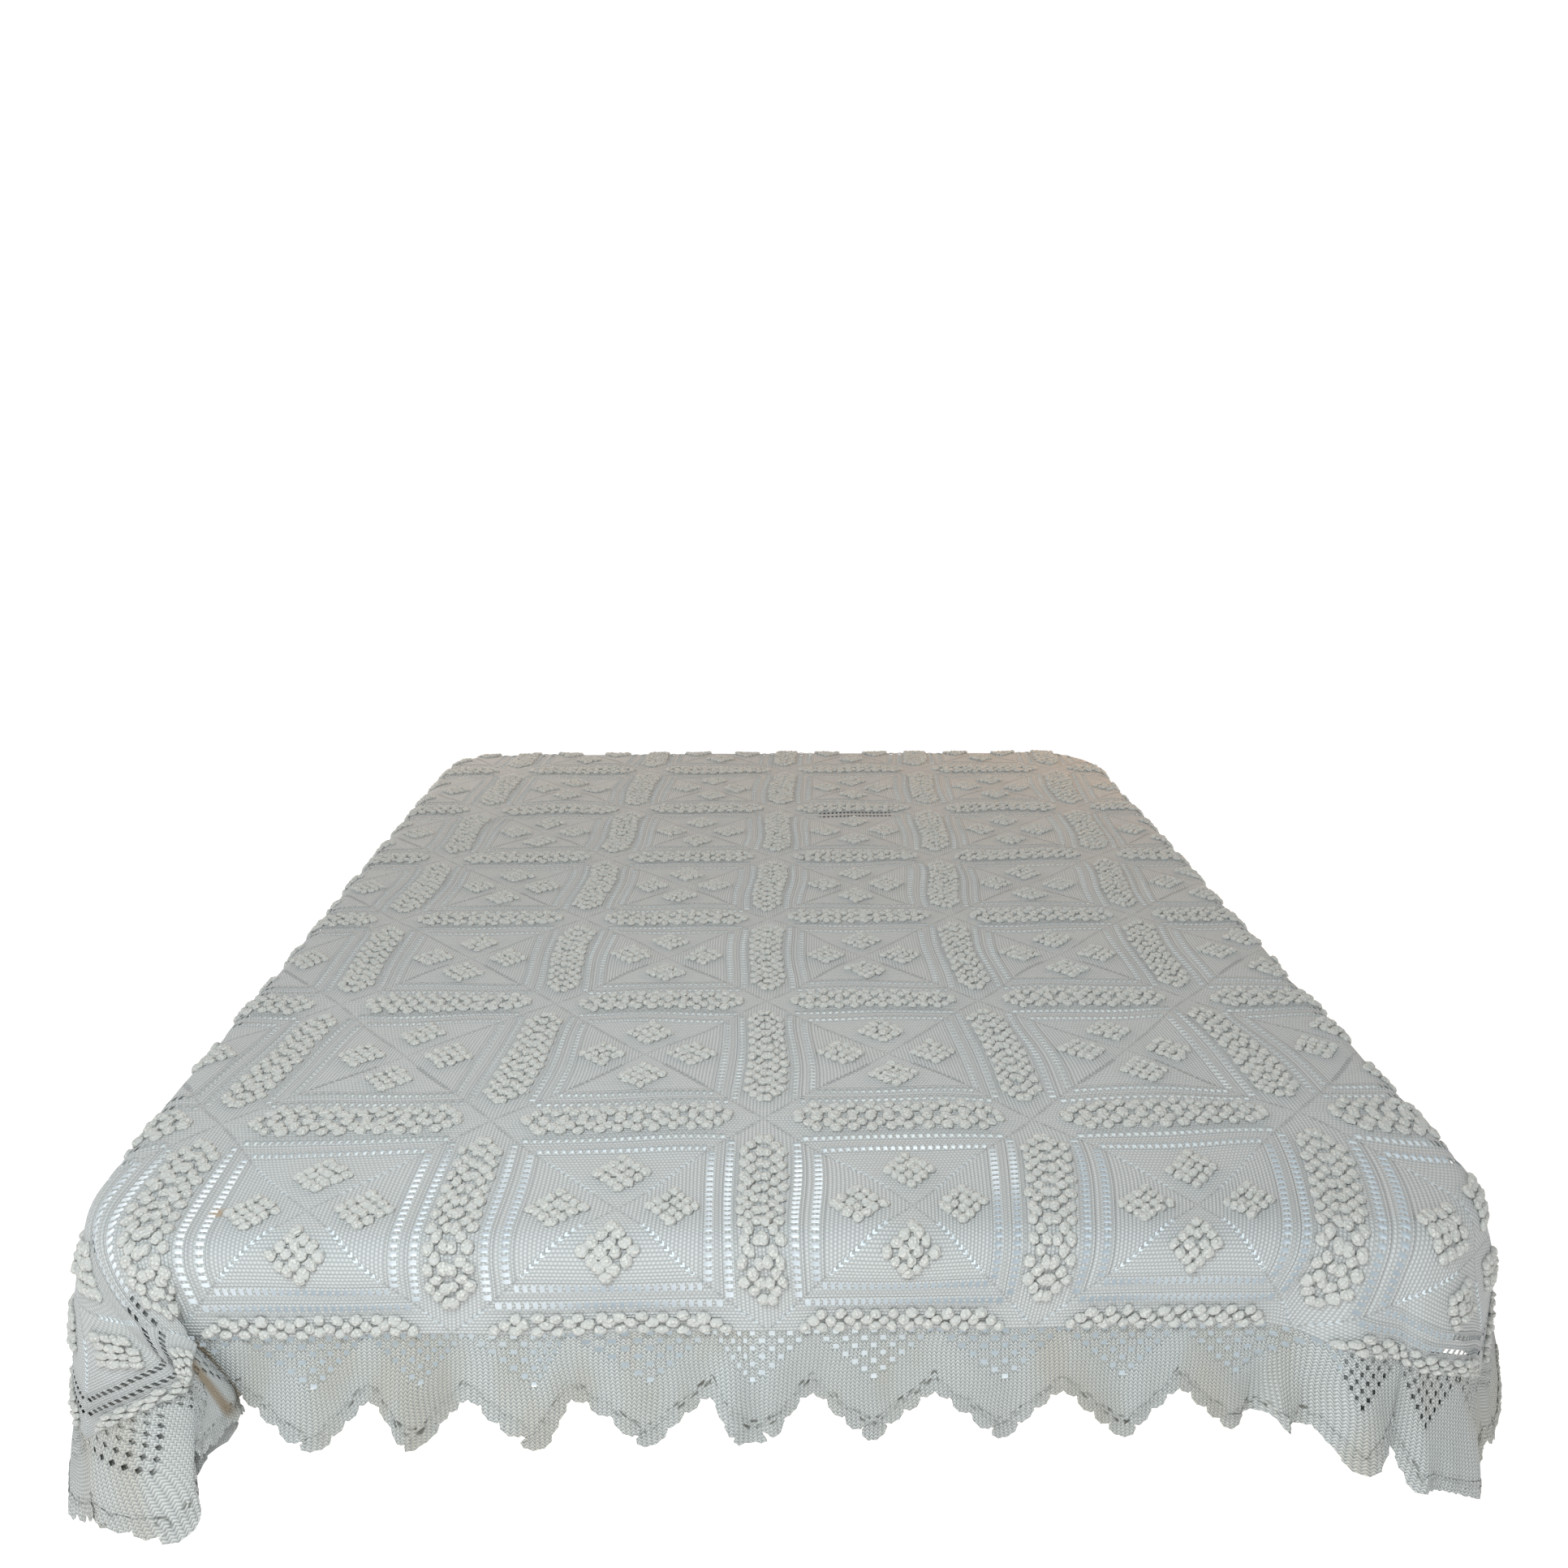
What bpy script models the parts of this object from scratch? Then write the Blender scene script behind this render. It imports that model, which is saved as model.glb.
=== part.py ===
"""Crochet bedspread on a plain bed.

The panel of square crochet blocks and its pointed lace edging are two thin sheets that lie on a mattress
and hang down its sides. A slab frame on plain legs carries the mattress. Metres, +Z up, the foot of the bed
towards -Y, and the origin on the floor below the middle of the bed.
"""
import math
from collections import namedtuple

import bmesh
import bpy
import numpy as np

# ---------------------------------------------------------------- driving dimensions, metres

BLOCK = 0.32                # side of one crochet block
BLOCKS_WIDE = 6
BLOCKS_LONG = 7
CLOTH = 0.003               # thickness of the crochet
JOIN_GAP = 0.0003           # between touching pieces
LACE_GAP = 0.0009           # between the edges of the panel and the lace, whose folds meet them at a slant

MATTRESS_WIDTH = 1.60
MATTRESS_LENGTH = 2.00
MATTRESS_DEPTH = 0.20
MATTRESS_CORNER = 0.14      # radius of the upright corners
MATTRESS_EDGE = 0.035       # radius of the top and bottom edges

FRAME_INSET = 0.10          # the frame stands this far inside the mattress, out of sight behind the lace
FRAME_DEPTH = 0.05
LEG_HEIGHT = 0.30
LEG_SIDE = 0.07
LEG_FROM_SIDE = 0.045       # from the frame's sides to a leg's middle
LEG_FROM_END = 0.365        # and from its foot and head ends

SIDE_CLEARANCE = 0.006      # from the mattress's sides to the middle of the cloth
EASE_LENGTH = 0.28          # a fold stops leaning out over about this length of hang

LACE_VALLEY = 0.078         # depth of the lace between two points
LACE_POINT = 0.132          # depth of the lace at a point
POINTS_WIDE = 15            # lace points along the head
POINTS_LONG = 18            # lace points along each side
# The lace points along the foot, unevenly sewn: each one's middle and the valley after it, in blocks from the
# middle of the panel, and how far that valley is filled (0 to 1).
Point = namedtuple("Point", "middle valley filled")
FOOT_POINTS = (Point(-2.80, -2.60, 0), Point(-2.41, -2.22, 0), Point(-2.02, -1.76, 0), Point(-1.50, -1.31, 0),
               Point(-1.12, -0.93, 0), Point(-0.74, -0.57, 0), Point(-0.40, -0.25, 0), Point(-0.10, 0.13, 0),
               Point(0.36, 0.63, 0), Point(0.90, 1.12, 0), Point(1.35, 1.57, 0), Point(1.79, 2.10, 0.45),
               Point(2.21, 2.36, 0), Point(2.51, 2.66, 0.3), Point(2.82, 3, 0))
CORNER_FAN = 0.30           # the lace fans out over this many blocks on each side of a corner
CORNER_FULLNESS = 0.20      # and is this much deeper at the corner itself

# ---------------------------------------------------------------- how the cloth lies, short tables

# One row for each seam line across the bed, in blocks: its distance behind the foot edge of the mattress,
# how far the middle seam lies from the bed's centre line, and the width of the blocks there.
Seam = namedtuple("Seam", "line back shift width")
SEAMS = (
    Seam(0, -0.30, -0.120, 0.985),
    Seam(1, 0.77, -0.090, 1.055),
    Seam(2, 1.79, -0.075, 0.990),
    Seam(3, 2.80, -0.075, 0.990),
    Seam(4, 3.77, -0.020, 0.998),
    Seam(5, 4.74, 0.030, 1.004),
    Seam(6, 5.70, 0.080, 1.012),
    Seam(7, 6.65, 0.130, 1.010),
)
# How far each seam is pulled across at the foot edge, in blocks.
Pull = namedtuple("Pull", "seam across")
FOOT_PULLS = (Pull(-2, 0.0), Pull(-1, -0.047), Pull(0, 0.037), Pull(1, -0.048), Pull(2, -0.138))
LEFT_BOW = 0.035            # the left seams of the foot row bow outwards by this many blocks
BELLY = 0.05                # the foot row of blocks is pulled forward by this many blocks at its middle
CORNER_SAG = 0.12           # and by this many more where it turns round a corner
# How much lower the foot edge hangs near its corners, in blocks.
Slip = namedtuple("Slip", "across lower")
SLIPS = (Slip(-3, -0.08), Slip(-2.6, -0.04), Slip(-2.3, 0.04), Slip(-2, 0), Slip(1.9, 0), Slip(2.2, 0.08),
         Slip(2.45, 0.13), Slip(3, 0.13))

# Folds along each side: position along the side in metres, and lean from the vertical in degrees.
Hang = namedtuple("Hang", "at lean")
HANGS = {
    "foot": (Hang(-0.66, 2), Hang(-0.55, 6), Hang(-0.42, 3), Hang(-0.28, 6), Hang(-0.15, 3), Hang(-0.02, 5.5),
             Hang(0.10, 3), Hang(0.24, 5.5), Hang(0.38, 3), Hang(0.49, 3), Hang(0.545, 1), Hang(0.615, 21),
             Hang(0.66, 14)),
    "head": (Hang(-0.66, 5), Hang(-0.40, 3), Hang(-0.15, 8), Hang(0.12, 3), Hang(0.40, 7), Hang(0.66, 5)),
    "left": (Hang(-0.86, 5), Hang(-0.70, 3), Hang(-0.48, 9), Hang(-0.25, 3), Hang(-0.02, 8), Hang(0.22, 3),
             Hang(0.46, 9), Hang(0.68, 3), Hang(0.86, 5)),
    "right": (Hang(-0.86, 5), Hang(-0.66, 3), Hang(-0.42, 8), Hang(-0.16, 3), Hang(0.10, 9), Hang(0.36, 3),
              Hang(0.60, 8), Hang(0.86, 5)),
}

# Folds round each corner, all in degrees: the angle in the flat cloth, from the foot or head side towards
# the long side, the way that line of cloth faces when it hangs, and its lean. A facing that runs back
# laps one fold over the next.
Fold = namedtuple("Fold", "angle facing lean")
FOLDS = {
    ("left", "foot"): (Fold(0, 0, 2), Fold(3, 3, 3), Fold(11, 5, 17), Fold(20, 7, 20), Fold(30, 12, 20),
                       Fold(37, 18, 13), Fold(44, 26, 11), Fold(52, 38, 14), Fold(61, 58, 17), Fold(72, 80, 20),
                       Fold(90, 90, 5)),
    ("right", "foot"): (Fold(0, 0, 14), Fold(8, 6, 23), Fold(20, 22, 22), Fold(34, 44, 11), Fold(46, 62, 12),
                        Fold(66, 82, 19), Fold(90, 90, 5)),
    ("left", "head"): (Fold(0, 0, 5), Fold(24, 20, 20), Fold(42, 42, 8), Fold(68, 66, 22), Fold(90, 90, 5)),
    ("right", "head"): (Fold(0, 0, 5), Fold(26, 24, 22), Fold(46, 46, 9), Fold(68, 68, 22), Fold(90, 90, 5)),
}
FOLD_START = 0.05           # a fold turns away from its corner between these two lengths of hang
FOLD_FULL = 0.19

# ---------------------------------------------------------------- sizes worked out from these

MATTRESS_TOP = LEG_HEIGHT + FRAME_DEPTH + MATTRESS_DEPTH
SHEET_TOP = MATTRESS_TOP + JOIN_GAP + 0.0001 + CLOTH / 2      # middle of the cloth where it lies flat
SHEET_HALF_WIDTH = MATTRESS_WIDTH / 2 + SIDE_CLEARANCE        # middle of the cloth where it hangs straight
SHEET_HALF_LENGTH = MATTRESS_LENGTH / 2 + SIDE_CLEARANCE
SHEET_CORNER = MATTRESS_CORNER + SIDE_CLEARANCE
CORNERS = (0, BLOCKS_WIDE, BLOCKS_WIDE + BLOCKS_LONG, 2 * BLOCKS_WIDE + BLOCKS_LONG,
           2 * (BLOCKS_WIDE + BLOCKS_LONG))                  # blocks round the panel's border

TOP_MARGIN = 0.02           # the meshes' lines start this far in from the bend
EDGE_CELLS = 4              # mesh cells over the mattress's edge
HANG_CELLS = 4              # and down the hang
CLOSEST_LINES = 0.03        # blocks between mesh lines, at the least


def column(table, name):
    """One named column of a table, as an array."""
    return np.array([getattr(row, name) for row in table], float)


def smooth(value):
    """0 below 0, 1 above 1, and an S-shaped rise between."""
    value = np.clip(value, 0.0, 1.0)
    return value * value * (3.0 - 2.0 * value)


def through(table, key, name, at):
    """A smooth curve through a column of a table whose keys are evenly spaced."""
    keys, values = column(table, key), column(table, name)
    first = 2.0 * values[0] - values[1]
    last = 2.0 * values[-1] - values[-2]
    padded = np.concatenate([[first], values, [last]])
    place_in = np.clip((at - keys[0]) / (keys[1] - keys[0]), 0.0, len(keys) - 1.0)
    step = np.minimum(place_in.astype(int), len(keys) - 2)
    t = place_in - step
    a, b, c, d = (padded[step + k] for k in range(4))
    return 0.5 * (2 * b + (c - a) * t + (2 * a - 5 * b + 4 * c - d) * t ** 2 + (3 * b - a - 3 * c + d) * t ** 3)


# ---------------------------------------------------------------- the flat cloth, laid over the bed

def lay(across, along):
    """Block coordinates (-3..3 across, 0..7 from the foot) to metres over the bed, before the cloth bends."""
    across, along = np.broadcast_arrays(np.asarray(across, float), np.asarray(along, float))
    inner = np.clip(across, -2.0, 2.0)
    x = through(SEAMS, "line", "shift", along) + inner * through(SEAMS, "line", "width", along) + across - inner
    foot_row = np.clip(along, 0.0, 1.0)
    belly = np.sin(math.pi * foot_row)
    corner = smooth((np.abs(across) - 1.9) / 0.55)
    slip = np.interp(across, column(SLIPS, "across"), column(SLIPS, "lower"))
    pulled = BELLY * belly + corner * CORNER_SAG * belly + slip * (1.0 - foot_row)
    y = through(SEAMS, "line", "back", along) - pulled
    pull = np.interp(inner, column(FOOT_PULLS, "seam"), column(FOOT_PULLS, "across"))
    x = x + pull * (1.0 - foot_row) ** 2 - LEFT_BOW * belly ** 2 * smooth((-across - 0.4) / 1.6)
    return x * BLOCK, y * BLOCK - MATTRESS_LENGTH / 2


def over_edge(reach, lean):
    """How far out and how far down a line of cloth is, that runs over a rounded edge and hangs at a lean."""
    turn = math.pi / 2 - lean
    on_edge = MATTRESS_EDGE * turn
    bent = np.clip(reach, 0.0, on_edge) / MATTRESS_EDGE
    hang = np.clip(reach - on_edge, 0.0, None)
    lean_out = EASE_LENGTH * (1.0 - np.exp(-hang / EASE_LENGTH)) * np.cos(turn)
    fall = np.sqrt(np.clip(hang ** 2 - lean_out ** 2, 0.0, None))
    out = np.where(reach < 0.0, reach, MATTRESS_EDGE * np.sin(bent) + lean_out)
    down = MATTRESS_EDGE * (1.0 - np.cos(bent)) + fall
    return out, down


def side_lean(side, at):
    """Lean of the cloth along one side, in radians."""
    at_rows, lean_rows = column(HANGS[side], "at"), column(HANGS[side], "lean")
    row = np.clip(np.searchsorted(at_rows, at) - 1, 0, len(at_rows) - 2)
    part = smooth((at - at_rows[row]) / (at_rows[row + 1] - at_rows[row]))
    return np.radians(lean_rows[row] * (1.0 - part) + lean_rows[row + 1] * part)


def corner_column(table, name, angle):
    """A column of a corner's fold table at any angle, flat on its crests and never past its stations."""
    keys, values = column(table, "angle"), column(table, name)
    slopes = np.diff(values) / np.diff(keys)
    tangents = np.zeros(len(keys))
    for k in range(1, len(keys) - 1):
        before, after = slopes[k - 1], slopes[k]
        if before * after > 0:
            tangents[k] = 2.0 * before * after / (before + after)
    row = np.clip(np.searchsorted(keys, angle, side="right") - 1, 0, len(keys) - 2)
    width = keys[row + 1] - keys[row]
    t = (angle - keys[row]) / width
    start = (2 * t ** 3 - 3 * t ** 2 + 1) * values[row] + (t ** 3 - 2 * t ** 2 + t) * width * tangents[row]
    end = (3 * t ** 2 - 2 * t ** 3) * values[row + 1] + (t ** 3 - t ** 2) * width * tangents[row + 1]
    return np.radians(start + end)


def drape(x, y):
    """Metres over the bed to the middle of the hanging cloth, one point a row."""
    x, y = np.broadcast_arrays(np.asarray(x, float), np.asarray(y, float))
    points = np.zeros(x.shape + (3,))
    past_x = np.abs(x) - (SHEET_HALF_WIDTH - SHEET_CORNER)
    past_y = np.abs(y) - (SHEET_HALF_LENGTH - SHEET_CORNER)
    at_corner = (past_x > 0) & (past_y > 0)
    at_side = ~at_corner & (past_x > past_y)
    at_end = ~at_corner & ~at_side

    for side, sign in (("left", -1.0), ("right", 1.0)):
        part = at_side & (x * sign > 0)
        out, down = over_edge(np.abs(x[part]) - SHEET_HALF_WIDTH + MATTRESS_EDGE, side_lean(side, y[part]))
        reach = sign * (SHEET_HALF_WIDTH - MATTRESS_EDGE + out)
        points[part] = np.stack([reach, y[part], SHEET_TOP - down], -1)

    for side, sign in (("foot", -1.0), ("head", 1.0)):
        part = at_end & ((y < 0) == (sign < 0))
        out, down = over_edge(np.abs(y[part]) - SHEET_HALF_LENGTH + MATTRESS_EDGE, side_lean(side, x[part]))
        reach = sign * (SHEET_HALF_LENGTH - MATTRESS_EDGE + out)
        points[part] = np.stack([x[part], reach, SHEET_TOP - down], -1)

    for (side, end), table in FOLDS.items():
        sign_x = -1.0 if side == "left" else 1.0
        sign_y = -1.0 if end == "foot" else 1.0
        part = at_corner & (x * sign_x > 0) & (y * sign_y > 0)
        radius = np.hypot(past_x[part], past_y[part])
        angle = np.arctan2(past_x[part], past_y[part])
        flat = SHEET_CORNER - MATTRESS_EDGE
        lean = corner_column(table, "lean", np.degrees(angle))
        out, down = over_edge(radius - flat, lean)
        turned = smooth((radius - flat - FOLD_START) / (FOLD_FULL - FOLD_START))
        facing = angle + (corner_column(table, "facing", np.degrees(angle)) - angle) * turned
        corner_x = SHEET_HALF_WIDTH - SHEET_CORNER + (flat + out) * np.sin(facing)
        corner_y = SHEET_HALF_LENGTH - SHEET_CORNER + (flat + out) * np.cos(facing)
        points[part] = np.stack([sign_x * corner_x, sign_y * corner_y, SHEET_TOP - down], -1)
    return points


def outward(x, y):
    """The way that the outer face of the hanging cloth looks, one point a row."""
    step = 0.001
    normals = np.cross(drape(x + step, y) - drape(x - step, y), drape(x, y + step) - drape(x, y - step))
    return normals / np.linalg.norm(normals, axis=-1, keepdims=True)


# ---------------------------------------------------------------- the lines of the sheets' meshes

def spokes(x, y):
    """For points beyond the mattress's edge: where their lines of cloth start to bend, and the way they run."""
    inner_x = np.clip(x, SHEET_CORNER - SHEET_HALF_WIDTH, SHEET_HALF_WIDTH - SHEET_CORNER)
    inner_y = np.clip(y, SHEET_CORNER - SHEET_HALF_LENGTH, SHEET_HALF_LENGTH - SHEET_CORNER)
    way = np.stack([x - inner_x, y - inner_y], -1)
    way = way / np.linalg.norm(way, axis=-1, keepdims=True)
    return np.stack([inner_x, inner_y], -1) + (SHEET_CORNER - MATTRESS_EDGE) * way, way


def on_border(at):
    """Places on the panel's border, by blocks round it from the left foot corner: across, along, the way
    that the lace points in degrees, and how much of that is the fan of a corner."""
    corners = np.array(CORNERS)
    side = np.clip(np.searchsorted(corners, at, side="right") - 1, 0, 3)
    done, left = at - corners[side], corners[side + 1] - at
    half = BLOCKS_WIDE / 2
    across = np.choose(side, [done - half, half, half - done, -half])
    along = np.choose(side, [0.0, done, BLOCKS_LONG, BLOCKS_LONG - done])
    fan = 45.0 * (np.clip(1.0 - left / CORNER_FAN, 0.0, 1.0) - np.clip(1.0 - done / CORNER_FAN, 0.0, 1.0))
    return across, along, 90.0 * (side - 1) + fan, fan


def lace_stations():
    """Every valley and point of the lace's edge in turn: blocks round the border from a valley at the left foot
    corner, and how far each reaches (0 to 1)."""
    stations, reach = [0.0], [0.0]
    for point in FOOT_POINTS:
        stations += [point.middle + BLOCKS_WIDE / 2, point.valley + BLOCKS_WIDE / 2]
        reach += [1.0, point.filled]
    for start, blocks, points in zip(CORNERS[1:], (BLOCKS_LONG, BLOCKS_WIDE, BLOCKS_LONG),
                                     (POINTS_LONG, POINTS_WIDE, POINTS_LONG)):
        stations += list(start + np.arange(1, 2 * points + 1) * blocks / (2 * points))
        reach += [1.0, 0.0] * points
    return np.array(stations), np.array(reach)


def lace_depth(at):
    """Depth of the lace at blocks round the border."""
    return LACE_VALLEY + (LACE_POINT - LACE_VALLEY) * np.interp(at, *lace_stations())


def border_lines():
    """Where the lines of both sheets cross the panel's border, in blocks round it: at every lace point and
    valley, and at and between the folds of every corner."""
    lines = list(lace_stations()[0][:-1])

    fine = np.linspace(-1.0, CORNERS[4] - 1.0, 5201)
    across, along, _, _ = on_border(fine % CORNERS[4])
    x, y = lay(across, along)
    past_x = np.abs(x) - (SHEET_HALF_WIDTH - SHEET_CORNER)
    past_y = np.abs(y) - (SHEET_HALF_LENGTH - SHEET_CORNER)
    angle = np.degrees(np.arctan2(past_x, past_y))
    for (side_name, end_name), table in FOLDS.items():
        here = (past_x > 0) & (past_y > 0) & ((x < 0) == (side_name == "left")) & ((y < 0) == (end_name == "foot"))
        order = np.argsort(angle[here])
        stations = column(table, "angle")
        wanted = np.concatenate([stations, (stations[1:] + stations[:-1]) / 2])
        for line in np.interp(wanted, angle[here][order], fine[here][order]) % CORNERS[4]:
            if min(abs(line - other) for other in lines) > CLOSEST_LINES:
                lines.append(line)
    return np.array(sorted(lines))


# ---------------------------------------------------------------- Blender helpers

def material(name, colour, roughness):
    """A plain Principled material."""
    made = bpy.data.materials.new(name)
    made.use_nodes = True
    shader = made.node_tree.nodes["Principled BSDF"]
    shader.inputs["Base Color"].default_value = (*colour, 1.0)
    shader.inputs["Roughness"].default_value = roughness
    shader.inputs["Metallic"].default_value = 0.0
    return made


def finish(mesh_builder, name, collection, finish_material):
    """Turn a bmesh into an object of the collection."""
    mesh = bpy.data.meshes.new(name)
    mesh_builder.to_mesh(mesh)
    mesh_builder.free()
    piece = bpy.data.objects.new(name, mesh)
    piece.data.materials.append(finish_material)
    collection.objects.link(piece)
    return piece


def ring_of_cloth(flat_rows):
    """A closed ring of the draped sheet, from rows of places over the bed (rows, lines, xy), as a bmesh
    that still has no thickness. Each vertex keeps the way it is to be thickened."""
    places = np.stack(flat_rows, 1)
    places = np.concatenate([places, places[:1]])
    lines, rows = places.shape[:2]
    points, normals = drape(*places.T).transpose(1, 0, 2), outward(*places.T).transpose(1, 0, 2)
    builder = bmesh.new()
    bmesh.ops.create_grid(builder, x_segments=lines - 1, y_segments=rows - 1, size=1.0)
    thicken_way = builder.verts.layers.float_vector.new("thicken_way")
    for vertex in builder.verts:
        line = round((vertex.co.x + 1.0) / 2.0 * (lines - 1))
        row = round((vertex.co.y + 1.0) / 2.0 * (rows - 1))
        vertex.co = points[line, row]
        vertex[thicken_way] = normals[line, row]
    bmesh.ops.remove_doubles(builder, verts=builder.verts, dist=0.00001)
    return builder


def thicken(builder):
    """Give a sheet its thickness, half to each side, so that neighbouring sheets' rims stay parallel."""
    thicken_way = builder.verts.layers.float_vector["thicken_way"]
    copy = bmesh.ops.extrude_face_region(builder, geom=builder.faces[:])["geom"]
    inner = {item for item in copy if isinstance(item, bmesh.types.BMVert)}
    for vertex in builder.verts:
        side = -0.5 if vertex in inner else 0.5
        vertex.co += side * CLOTH * vertex[thicken_way]
    bmesh.ops.recalc_face_normals(builder, faces=builder.faces)


def rounded_block(width, length, bottom, top, corner, corner_segments, edge, edge_segments):
    """A block with rounded upright corners and softly rounded top and bottom edges."""
    builder = bmesh.new()
    bmesh.ops.create_cube(builder, size=1.0)
    bmesh.ops.scale(builder, vec=(width, length, top - bottom), verts=builder.verts)
    bmesh.ops.translate(builder, vec=(0.0, 0.0, (top + bottom) / 2), verts=builder.verts)
    upright = [e for e in builder.edges if abs(e.verts[0].co.z - e.verts[1].co.z) > 0.5 * (top - bottom)]
    bmesh.ops.bevel(builder, geom=upright, offset=corner, segments=corner_segments, profile=0.5,
                    affect="EDGES", clamp_overlap=True)
    level = [e for e in builder.edges if abs(e.verts[0].co.z - e.verts[1].co.z) < 0.001]
    bmesh.ops.bevel(builder, geom=level, offset=edge, segments=edge_segments, profile=0.5,
                    affect="EDGES", clamp_overlap=True)
    return builder


# ---------------------------------------------------------------- the pieces

def make_panel(collection, cotton):
    """The blocks, joined into one sheet that lies on the mattress and hangs over its edges."""
    across, along, _, _ = on_border(border_lines())
    edge = np.stack(lay(across, along), -1)
    start, way = spokes(*edge.T)
    hang = np.linalg.norm(edge - start, axis=-1)
    bend = MATTRESS_EDGE * math.pi / 2
    reaches = [-TOP_MARGIN + 0.0 * hang]
    reaches += [bend * cell / EDGE_CELLS + 0.0 * hang for cell in range(EDGE_CELLS)]
    reaches += [bend + (hang - bend) * cell / HANG_CELLS for cell in range(HANG_CELLS + 1)]
    builder = ring_of_cloth([start + way * reach[:, None] for reach in reaches])
    middle = [edge for edge in builder.edges if edge.is_boundary and edge.verts[0].co.z > SHEET_TOP - 0.0001]
    bmesh.ops.contextual_create(builder, geom=middle)
    thicken(builder)
    return finish(builder, "bedspread_panel", collection, cotton)


def make_lace(collection, cotton):
    """The pointed edging, one sheet that runs right round the panel and hangs from its edge."""
    lines = border_lines()
    across, along, facing, fan = on_border(lines)
    x, y = lay(across, along)
    depth = lace_depth(lines) * (1.0 + CORNER_FULLNESS * np.abs(fan) / 45.0)
    rows = []
    for part in (0.0, 0.5, 1.0):
        width = LACE_GAP + part * (depth - LACE_GAP)
        rows.append(np.stack([x + width * np.cos(np.radians(facing)), y + width * np.sin(np.radians(facing))], -1))
    builder = ring_of_cloth(rows)
    thicken(builder)
    return finish(builder, "lace_edging", collection, cotton)


def make_mattress(collection, cover):
    """A plain mattress in a white cover."""
    bottom = LEG_HEIGHT + FRAME_DEPTH
    builder = rounded_block(MATTRESS_WIDTH, MATTRESS_LENGTH, bottom, MATTRESS_TOP, MATTRESS_CORNER, 8,
                            MATTRESS_EDGE, 4)
    return finish(builder, "mattress", collection, cover)


def make_frame(collection, wood):
    """The slab that carries the mattress."""
    width = MATTRESS_WIDTH - 2 * FRAME_INSET
    length = MATTRESS_LENGTH - 2 * FRAME_INSET
    builder = rounded_block(width, length, LEG_HEIGHT, LEG_HEIGHT + FRAME_DEPTH - JOIN_GAP, 0.10, 6, 0.006, 2)
    return finish(builder, "bed_frame", collection, wood)


def make_legs(collection, wood):
    """Plain square legs under the frame: two near each end and one at its middle."""
    reach_x = MATTRESS_WIDTH / 2 - FRAME_INSET - LEG_FROM_SIDE
    reach_y = MATTRESS_LENGTH / 2 - FRAME_INSET - LEG_FROM_END
    places = {"middle": (0, 0), "foot_left": (-1, -1), "foot_right": (1, -1), "head_left": (-1, 1),
              "head_right": (1, 1)}
    for name, (sign_x, sign_y) in places.items():
        builder = rounded_block(LEG_SIDE, LEG_SIDE, 0.0, LEG_HEIGHT - JOIN_GAP, 0.010, 3, 0.003, 1)
        leg = finish(builder, f"bed_leg_{name}", collection, wood)
        leg.location = (sign_x * reach_x, sign_y * reach_y, 0.0)


def main():
    for old in list(bpy.data.objects):
        bpy.data.objects.remove(old, do_unlink=True)
    collection = bpy.data.collections.new("crochet_bedspread_on_bed")
    bpy.context.scene.collection.children.link(collection)
    cotton = material("ecru_cotton", (0.56, 0.57, 0.52), 0.9)
    cover = material("white_cover", (0.72, 0.78, 0.84), 0.85)
    wood = material("pale_wood", (0.70, 0.62, 0.50), 0.6)
    make_panel(collection, cotton)
    make_lace(collection, cotton)
    make_mattress(collection, cover)
    make_frame(collection, wood)
    make_legs(collection, wood)


main()
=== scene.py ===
"""Crochet bedspread: builds the draped cloth, its lace edging and the plain bed that carries it.

Everything crocheted is first laid out flat, as it is made, and then draped over the bed by one function.
Lengths are metres. The foot of the bed is towards -Y.
"""
import math
from collections import namedtuple
from functools import partialmethod

import bmesh
import bpy
import numpy as np
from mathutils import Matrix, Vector


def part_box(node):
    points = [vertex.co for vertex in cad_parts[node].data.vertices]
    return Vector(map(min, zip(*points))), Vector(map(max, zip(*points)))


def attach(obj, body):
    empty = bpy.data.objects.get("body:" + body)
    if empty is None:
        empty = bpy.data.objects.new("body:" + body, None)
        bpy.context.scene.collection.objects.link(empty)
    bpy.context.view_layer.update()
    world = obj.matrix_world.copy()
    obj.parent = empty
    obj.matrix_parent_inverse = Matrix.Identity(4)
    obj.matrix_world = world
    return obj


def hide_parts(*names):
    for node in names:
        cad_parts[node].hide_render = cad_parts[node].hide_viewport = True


bl_info = {
    "name": "Crochet bedspread",
    "version": (1, 0, 0),
    "blender": (4, 5, 0),
    "location": "3D View > Sidebar > Bedspread",
    "description": "Builds a crochet bedspread with a pointed lace edging on a plain bed",
    "category": "Object",
}

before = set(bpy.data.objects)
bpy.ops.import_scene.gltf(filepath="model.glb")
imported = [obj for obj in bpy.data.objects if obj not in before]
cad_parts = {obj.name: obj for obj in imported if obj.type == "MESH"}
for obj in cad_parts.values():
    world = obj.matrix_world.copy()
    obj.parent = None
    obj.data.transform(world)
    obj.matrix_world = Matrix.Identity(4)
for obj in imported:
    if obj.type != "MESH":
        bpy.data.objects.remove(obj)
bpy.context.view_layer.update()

# ---------------------------------------------------------------- driving sizes, from the frame where it has them

MATTRESS_LOW, MATTRESS_HIGH = (Vector(corner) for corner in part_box("mattress"))
MATTRESS_CORNER = 0.14      # radius of the upright corners
MATTRESS_EDGE = 0.035       # radius of the top and bottom edges

BLOCK = 0.32                # side of one crochet block
BLOCKS_WIDE = 6
BLOCKS_LONG = 7
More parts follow.
